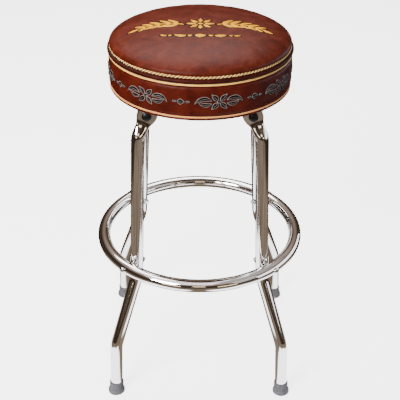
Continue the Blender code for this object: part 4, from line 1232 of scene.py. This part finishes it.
# How far outside the skin the search for a stitch's place starts
RAY_RUN = 0.05


def curl(start, heading, run, bend=0.0, tighten=0.0, steps=14):
    """Points along a stroke that turns by bend over its run, faster towards its end with tighten."""
    point = Vector(start)
    points = [point.copy()]
    for step in range(steps):
        share = (step + 0.5) / steps
        angle = heading + bend * share + tighten * share * share
        point += Vector((math.cos(angle), math.sin(angle))) * (run / steps)
        points.append(point.copy())
    return points


def leaf_width(share):
    return math.sin(math.pi * share ** 0.8) ** 0.85


def stem_width(share):
    return 1.0 - 0.55 * share


def bud_width(share):
    return math.sqrt(max(1 - (2 * share - 1) ** 2, 0))


def stitched(bm, points, half_width, width_at, height, grow=0.0, slim=1.0):
    """Add a raised stroke of satin stitch along points in the plane, with its thread map."""
    steps = len(points) - 1
    uv = bm.loops.layers.uv.verify()
    made = bmesh.ops.create_grid(bm, x_segments=steps, y_segments=4, size=1.0)["verts"]
    run = sum((after - before).length for before, after in zip(points, points[1:]))
    thread = {}
    for vert in made:
        index = round((vert.co.x + 1) / 2 * steps)
        side = vert.co.y
        share = index / steps
        before, after = points[max(index - 1, 0)], points[min(index + 1, steps)]
        along = (after - before).normalized()
        across = Vector((-along.y, along.x))
        half = half_width * width_at(share) * slim + grow
        end = along * (grow * (2 * share - 1) * 1.2)
        place = points[index] + end + across * (half * side)
        thread[vert] = (share * run, half * side)
        lift = height * (1 - side * side) ** 0.6 - 0.0002
        vert.co = (place.x, place.y, lift)
    for face in {face for vert in made for face in vert.link_faces}:
        for loop in face.loops:
            loop[uv].uv = thread[loop.vert]
    return made


def mirrored(strokes):
    """The strokes and their reflections across the middle line."""
    return strokes + [([Vector((-p.x, p.y)) for p in points], *rest) for points, *rest in strokes]


def sprig(root, heading, run, bend, pairs, leaf, half):
    """A stem with pairs of leaves that shrink towards its tip, and a bud at its end."""
    stem = curl(root, heading, run, bend, steps=STEM_STEPS)
    strokes = [(stem, 0.0011, stem_width)]
    for pair in range(pairs):
        share = (pair + 0.6) / (pairs + 0.4)
        index = round(share * STEM_STEPS)
        way = stem[min(index + 1, STEM_STEPS)] - stem[index - 1]
        angle = math.atan2(way.y, way.x)
        size = leaf * (1 - 0.45 * share)
        for side in (-1, 1):
            points = curl(stem[index], angle + side * 0.95, size, -side * 0.75)
            strokes.append((points, half * (1 - 0.35 * share), leaf_width))
    way = stem[-1] - stem[-2]
    strokes.append((curl(stem[-1], math.atan2(way.y, way.x), leaf * 0.6), half * 0.75, leaf_width))
    return strokes


def crown_ornament():
    """Rosette with a leafy sprig to each side, over a short row of lozenges and drops."""
    middle = Vector((0.0, -0.012))
    strokes = []
    for petal in range(8):
        angle = math.tau * petal / 8
        root = middle + Vector((math.cos(angle), math.sin(angle))) * 0.0080
        strokes.append((curl(root, angle, 0.0180), 0.0052, leaf_width))
    strokes.append((curl(middle - Vector((0.0052, 0)), 0, 0.0104), 0.0052, bud_width))
    strokes += mirrored(sprig((0.031, -0.016), 0.40, 0.088, -0.90, 5, 0.033, 0.0064))
    row = -0.066
    strokes.append((curl((-0.010, row), 0, 0.020), 0.0085, leaf_width))
    right = [
        (curl((0.0150, row), 0, 0.008), 0.0040, bud_width),
        (curl((0.0260, row), 0.0, 0.022, 0.4), 0.0062, leaf_width),
        (curl((0.0520, row + 0.003), 0, 0.006), 0.0030, bud_width),
        (curl((0.0610, row + 0.004), 0.25, 0.012), 0.0032, leaf_width),
    ]
    return strokes + mirrored(right)


def band_ornament():
    """Four-petalled flower between two curled leaves, as one repeat of the side band."""
    strokes = []
    for petal in range(4):
        angle = math.pi / 4 + math.pi / 2 * petal
        root = Vector((math.cos(angle), math.sin(angle))) * 0.0030
        strokes.append((curl(root, angle, 0.0165), 0.0055, leaf_width))
    strokes.append((curl((-0.0040, 0), 0, 0.0080), 0.0040, bud_width))
    right = [
        (curl((0.014, 0.002), 0.55, 0.034, -1.2, -0.4), 0.0050, leaf_width),
        (curl((0.014, -0.003), -0.50, 0.028, 1.0, 0.8), 0.0044, leaf_width),
    ]
    return strokes + mirrored(right)


def lozenge_ornament():
    """Small lozenge and two drops between the flowers."""
    right = [(curl((0.0095, 0), 0, 0.006), 0.0024, leaf_width)]
    return [(curl((-0.0065, 0), 0, 0.013), 0.0060, leaf_width)] + mirrored(right)


def surface_of(name):
    """Search tree of a piece's finished surface."""
    return BVHTree.FromObject(bpy.data.objects[name], bpy.context.evaluated_depsgraph_get())


def embroidered(skin_name, patches, layers):
    """Stitch layers over a skin. A patch is its strokes, and a ray for each place in the plane."""
    skin = surface_of(skin_name)
    for name, material, slot, grow, slim, height in layers:
        bm = bmesh.new()
        for strokes, ray in patches:
            made = []
            for points, half_width, width_at in strokes:
                made += stitched(bm, points, half_width, width_at, height, grow, slim)
            for vert in made:
                place, normal, _, _ = skin.ray_cast(*ray(vert.co))
                vert.co = place + normal * vert.co.z
        finished(bm, name, material, "seat", slot, smooth=0, recalc=False)


class STOOL_OT_crown_embroidery(bpy.types.Operator):
    """Embroider a gold rosette and leaves on the crowned cover"""

    bl_idname = "stool.crown_embroidery"
    bl_label = "Crown embroidery"

    layers = (
        ("crown_embroidery_outline", "outline_thread", "cord_gold", 0.0023, 1.0, 0.0006),
        ("crown_embroidery_fill", "gold_thread", "cord_gold", 0.0, 1.0, 0.0012),
        # Pale gold line along the middle of each gold stroke: a painted highlight
        ("crown_embroidery_vein", "painted_highlight_thread", "cord_gold", 0.0, 0.25, 0.0016),
    )

    def execute(self, context):
        over = context.scene.stool_seat.crown_top + RAY_RUN

        def ray(place):
            return Vector((place.x, place.y, over)), Vector((0, 0, -1))
        embroidered("top_cover_skin", [(crown_ornament(), ray)], self.layers)
        return {"FINISHED"}


class STOOL_OT_band_embroidery(bpy.types.Operator):
    """Embroider black and silver flowers and leaves round the side band"""

    bl_idname = "stool.band_embroidery"
    bl_label = "Band embroidery"

    repeats = 8
    layers = (
        ("band_embroidery_outline", "black_thread", "vinyl_dark", 0.0014, 1.0, 0.0005),
        ("band_embroidery_edge", "silver_thread", "cord_gold", 0.0005, 1.0, 0.0008),
        ("band_embroidery_fill", "black_thread", "vinyl_dark", -0.0003, 0.92, 0.0018),
        ("band_embroidery_vein", "silver_thread", "cord_gold", 0.0, 0.10, 0.0021),
    )

    def execute(self, context):
        seat = context.scene.stool_seat
        middle = (band_low() + seat.band_top) / 2
        around = seat.band_radius + seat.band_bulge
        patches = []
        for index in range(self.repeats * 2):
            bearing = math.tau * (index + 0.5) / (self.repeats * 2) - math.pi / 2

            def ray(place, bearing=bearing):
                angle = bearing + place.x / around
                outward = Vector((math.cos(angle), math.sin(angle), 0))
                return outward * (around + RAY_RUN) + Vector((0, 0, middle + place.y)), -outward
            patches.append((lozenge_ornament() if index % 2 else band_ornament(), ray))
        embroidered("side_band_skin", patches, self.layers)
        return {"FINISHED"}


# Underside

class STOOL_OT_staples(bpy.types.Operator):
    """Staple the turned edge of the band to the board"""

    bl_idname = "stool.staples"
    bl_label = "Staples"

    count = 44
    tilt = 0.25
    rounding = 0.7
    sunk = 0.3

    def execute(self, context):
        seat = context.scene.stool_seat
        wire = seat.staple_wire
        bm = bmesh.new()
        bmesh.ops.create_cube(bm, size=1.0)
        bmesh.ops.scale(bm, vec=(wire * 2, seat.staple_length, wire * 2), verts=bm.verts[:])
        bmesh.ops.bevel(
            bm, geom=bm.edges[:], offset=wire * self.rounding, offset_type="OFFSET", segments=2, profile=0.5,
            affect="EDGES", material=-1,
        )
        bmesh.ops.rotate(bm, verts=bm.verts[:], cent=(0, 0, 0), matrix=Matrix.Rotation(self.tilt, 3, "Z"))
        height = BAND_BOX[0].z - wire * self.sunk
        bmesh.ops.translate(bm, verts=bm.verts[:], vec=(seat.staple_circle, 0, height))
        swept(bm, everything(bm), self.count - 1, math.tau * (1 - 1 / self.count), use_duplicate=True)
        finished(bm, "edge_staples", "zinc", "seat", "zinc")
        return {"FINISHED"}


class STOOL_OT_under_seat_finishes(bpy.types.Operator):
    """Give the bracket, the swivel and the board their finishes"""

    bl_idname = "stool.under_seat_finishes"
    bl_label = "Under-seat finishes"

    def execute(self, context):
        chosen = {"leg_bracket": "enamel", "seat_board": "plywood"}
        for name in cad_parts:
            if name.startswith("bearing_ball"):
                chosen[name] = "ball"
            elif name.startswith(("swivel_", "ball_cage", "seat_screw", "tee_nut")):
                chosen[name] = "zinc"
        for name, material in chosen.items():
            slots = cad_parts[name].data.materials
            slots.clear()
            slots.append(finish(material))
        return {"FINISHED"}


# Studio

FLOOR_HALF = 8.0
BACKDROP_RADIUS = 7.9
ROOM_RADIUS = 7.6
SENSOR_WIDTH = 36.0


class StudioSizes(bpy.types.PropertyGroup):
    """Place of the camera and the strength of the lights."""

    distance: length("Camera distance", "Level distance from the stool's axis to the camera", 1.5852)
    height: length("Camera height", "Height of the camera", 1.3360)
    sideways: length("Camera sideways", "How far the camera stands to the right", 0.0007)
    pitch: turn("Pitch", "How far the camera looks down", 31.303)
    roll: turn("Roll", "Roll of the camera about its view", 0.2996)
    lens: bpy.props.FloatProperty(
        name="Lens", description="Focal length of the camera", default=79.707, min=1, unit="CAMERA",
    )
    key: watts("Key", "Power of the key light in watts", 196)
    top: watts("Top", "Power of the overhead light in watts", 72)
    fill: watts("Fill", "Power of the fill light in watts", 4)


def area_light(name, place, target, size, power):
    light = bpy.data.lights.new(name, "AREA")
    light.shape = "RECTANGLE"
    light.size, light.size_y = size
    light.energy = power
    lamp = bpy.data.objects.new(name, light)
    bpy.context.scene.collection.objects.link(lamp)
    lamp.location = place
    lamp.rotation_euler = (Vector(target) - Vector(place)).to_track_quat("-Z", "Y").to_euler()
    return lamp


def staged(name, bm, material, unseen_by):
    """Stand a mesh in the studio, unseen by some kinds of ray."""
    piece = placed(name, bm)
    piece.data.materials.append(material)
    for ray in unseen_by:
        setattr(piece, "visible_" + ray, False)


def studio_world():
    """Plain pale room that lights the stool softly from all sides."""
    world = bpy.data.worlds.new("studio")
    world.use_nodes = True
    background = world.node_tree.nodes["Background"]
    background.inputs["Color"].default_value = rgba("F6F4F3")
    background.inputs["Strength"].default_value = 0.42
    bpy.context.scene.world = world


def glowing(name, strength, code="FFFFFF"):
    """A lit material, with its node tree, its colour socket and the Object coordinates."""
    material, tree, _, place = new_material(name)
    glow = add_node(tree, "ShaderNodeEmission", {"Color": rgba(code), "Strength": strength})
    tree.links.new(glow.outputs["Emission"], tree.nodes["Material Output"].inputs["Surface"])
    return material, tree, glow.inputs["Color"], place


def painted_reflected_room():
    """Glowing painted reflection of a room: brown walls, darkest above the floor, under a white ceiling."""
    material, tree, socket, place = glowing("painted reflected room", 1.0)
    outward = add_node(tree, "ShaderNodeVectorMath", links={0: place}, operation="NORMALIZE")
    upward = add_node(tree, "ShaderNodeSeparateXYZ", links={"Vector": outward}).outputs["Z"]
    tone = add_node(tree, "ShaderNodeValToRGB", links={"Fac": upward}, stops=[
        (0.0, "6B5D50"), (0.06, "57493D"), (0.2, "2E251E"), (0.4, "4E4036"), (0.53, "8A7365"),
        (0.7, "C9B7AE"), (0.86, "F2EAEC"),
    ])
    tree.links.new(tone.outputs["Color"], socket)
    return material


def painted_reflected_floor():
    """Painted reflection of a floor: brown, dimmed far off and behind the stool, white round its feet."""
    material, tree, socket, place = glowing("studio floorboards", 1.0)
    parts = add_node(tree, "ShaderNodeSeparateXYZ", links={"Vector": place}).outputs
    far = add_node(tree, "ShaderNodeVectorMath", links={0: place}, operation="LENGTH").outputs["Value"]
    aside = add_node(tree, "ShaderNodeMath", links={0: parts["X"]}, operation="ABSOLUTE")
    inner = add_node(
        tree, "ShaderNodeMapRange", {"From Min": -0.24, "From Max": -0.16, "To Min": -0.04, "To Max": -0.15},
        {"Value": parts["Y"]},
    )
    past = add_node(tree, "ShaderNodeMath", links={0: aside, 1: inner}, operation="ADD")

    def joined(operation, edges):
        """Join shares that run from nought to one between the two edges of each."""
        total = None
        for source, start, end in edges:
            share = add_node(
                tree, "ShaderNodeMapRange", {"From Min": start, "From Max": end}, {"Value": source},
            )
            if total:
                share = add_node(tree, "ShaderNodeMath", links={0: total, 1: share}, operation=operation)
            total = share
        return total
    # Painted reflection of the white floor round the feet, left brown under the middle of the stool
    white = joined("MULTIPLY", (
        (past, 0.0, 0.04), (aside, 0.46, 0.40), (parts["Y"], -0.50, -0.44), (parts["Y"], 0.20, 0.15),
    ))
    # Painted shade: the reflected floor dims far off, behind the stool and far to the sides
    dim = joined("MAXIMUM", ((far, 1.3, 2.0), (parts["Y"], 0.16, 0.34), (aside, 0.95, 1.2)))
    floor_blotches = add_node(tree, "ShaderNodeTexNoise", grain(350), {"Vector": place})
    brown = add_node(
        tree, "ShaderNodeValToRGB", links={"Fac": floor_blotches}, stops=[(0.3, "7A6856"), (0.7, "B09E8B")],
    ).outputs["Color"]
    for factor, tone in ((dim, rgba("3A2E23")), (white, (4.6, 4.5, 4.9, 1.0))):
        brown = add_node(
            tree, "ShaderNodeMix", {"B": tone}, {"Factor": factor, "A": brown}, data_type="RGBA",
        ).outputs["Result"]
    tree.links.new(brown, socket)
    return material


def reflected(name, bm, material):
    """Put up a part of the studio that shows in shiny surfaces and nowhere else."""
    staged(name, bm, material, ("camera", "diffuse", "shadow", "transmission"))


def reflected_card(name, size, place, facing, material):
    """Hang a card that shows in shiny surfaces and nowhere else."""
    bm = bmesh.new()
    bmesh.ops.create_grid(bm, x_segments=1, y_segments=1, size=0.5)
    bmesh.ops.scale(bm, vec=(*size, 1), verts=bm.verts[:])
    reflected(name, moved(bm, Matrix.Translation(place) @ facing), material)


def reflections():
    """Painted reflections round the stool: glowing sheets and cards that only its polished metal shows."""
    upright = Matrix.Rotation(math.pi / 2, 4, "X")
    sideways = Matrix.Rotation(math.pi / 2, 4, "Y")
    level = Matrix.Identity(4)
    room = bmesh.new()
    bmesh.ops.create_icosphere(room, subdivisions=3, radius=ROOM_RADIUS)
    reflected("reflected_room", room, painted_reflected_room())
    reflected_card("reflected_floor", (2 * FLOOR_HALF, 2 * FLOOR_HALF), (0, 0, 0.0004), level, painted_reflected_floor())
    pane = glowing("warm window", 3.6, "FFE6C4")[0]
    wall = glowing("white wall", 3.6, "F7F4FF")[0]
    lamp = glowing("ceiling light", 4.2, "FBEFF2")[0]
    beam = glowing("ceiling beam", 1.0, "3A3130")[0]
    for side in (-1, 1):
        facing = Matrix.Rotation(side * math.radians(28), 4, "Z") @ upright
        reflected_card("reflected_window_%d" % side, (1.1, 0.46), (side * 1.5, -2.85, 0.56), facing, pane)
    reflected_card("reflected_lantern", (0.7, 0.5), (0, -3.2, 1.35), upright, pane)
    reflected_card("reflected_wall", (1.3, 4.2), (2.6, 0.6, 0.7), sideways, wall)
    # Ceiling lights and dark beams seen only in reflection: painted highlights and painted dark bands
    for index, depth in enumerate((-2.1, -1.0, 0.2, 1.5)):
        reflected_card("reflected_tube_%d" % index, (3.2, 0.6), (-0.9, depth, 3.0), level, lamp)
        reflected_card("reflected_beam_%d" % index, (5.0, 0.22), (0, depth + 0.5, 3.0), level, beam)


class STOOL_OT_studio(bpy.types.Operator):
    """Lay the floor, hang the lights and place the camera"""

    bl_idname = "stool.studio"
    bl_label = "Studio"

    def execute(self, context):
        studio = context.scene.stool_studio
        floor = bmesh.new()
        bmesh.ops.create_grid(floor, x_segments=1, y_segments=1, size=FLOOR_HALF)
        staged("floor", floor, finish("floor"), ("diffuse",))
        dome = bmesh.new()
        bmesh.ops.create_uvsphere(dome, u_segments=48, v_segments=24, radius=BACKDROP_RADIUS)
        staged("backdrop", dome, finish("floor"), ("diffuse", "glossy", "shadow"))
        reflections()
        studio_world()
        area_light("key", (-1.7, -2.2, 2.0), (0, 0, 0.6), (1.4, 1.4), studio.key)
        area_light("top", (-0.3, 1.0, 2.5), (0, 0, 0.5), (2.2, 1.6), studio.top)
        area_light("fill", (1.9, -1.6, 1.5), (0, 0, 0.45), (1.2, 1.6), studio.fill)
        camera = bpy.data.cameras.new("camera")
        camera.lens = studio.lens
        camera.sensor_width = SENSOR_WIDTH
        holder = bpy.data.objects.new("camera", camera)
        context.scene.collection.objects.link(holder)
        look = Matrix.Rotation(math.pi / 2 - studio.pitch, 4, "X") @ Matrix.Rotation(studio.roll, 4, "Z")
        place = Vector((studio.sideways, -studio.distance, studio.height))
        holder.matrix_world = Matrix.Translation(place) @ look
        context.scene.camera = holder
        return {"FINISHED"}


OPERATORS = (
    STOOL_OT_legs,
    STOOL_OT_foot_caps,
    STOOL_OT_foot_ring,
    STOOL_OT_ring_bolts,
    STOOL_OT_leg_bolts,
    STOOL_OT_top_cover,
    STOOL_OT_side_band,
    STOOL_OT_upper_strip,
    STOOL_OT_trim_cords,
    STOOL_OT_crown_embroidery,
    STOOL_OT_band_embroidery,
    STOOL_OT_staples,
    STOOL_OT_under_seat_finishes,
    STOOL_OT_studio,
)


class STOOL_PT_panel(bpy.types.Panel):
    """Sidebar panel with one button for each group of pieces"""

    bl_idname = "STOOL_PT_panel"
    bl_label = "Bar Stool"
    bl_space_type = "VIEW_3D"
    bl_region_type = "UI"
    bl_category = "Stool"

    def draw(self, context):
        for operator in OPERATORS:
            self.layout.operator(operator.bl_idname)


GROUPS = {
    "stool_legs": LegSizes,
    "stool_fittings": FittingSizes,
    "stool_seat": SeatSizes,
    "stool_colours": StoolColours,
    "stool_studio": StudioSizes,
}


def register():
    for name, group in GROUPS.items():
        bpy.utils.register_class(group)
        setattr(bpy.types.Scene, name, bpy.props.PointerProperty(type=group))
    for operator in OPERATORS:
        bpy.utils.register_class(operator)
    bpy.utils.register_class(STOOL_PT_panel)


def unregister():
    bpy.utils.unregister_class(STOOL_PT_panel)
    for operator in reversed(OPERATORS):
        bpy.utils.unregister_class(operator)
    for name, group in reversed(GROUPS.items()):
        delattr(bpy.types.Scene, name)
        bpy.utils.unregister_class(group)


def run(idname):
    """Run one of the stool's operators by its name."""
    group, name = idname.split(".")
    getattr(getattr(bpy.ops, group), name)()


def main():
    register()
    for operator in OPERATORS:
        run(operator.bl_idname)
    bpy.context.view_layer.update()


if __name__ == "__main__":
    main()
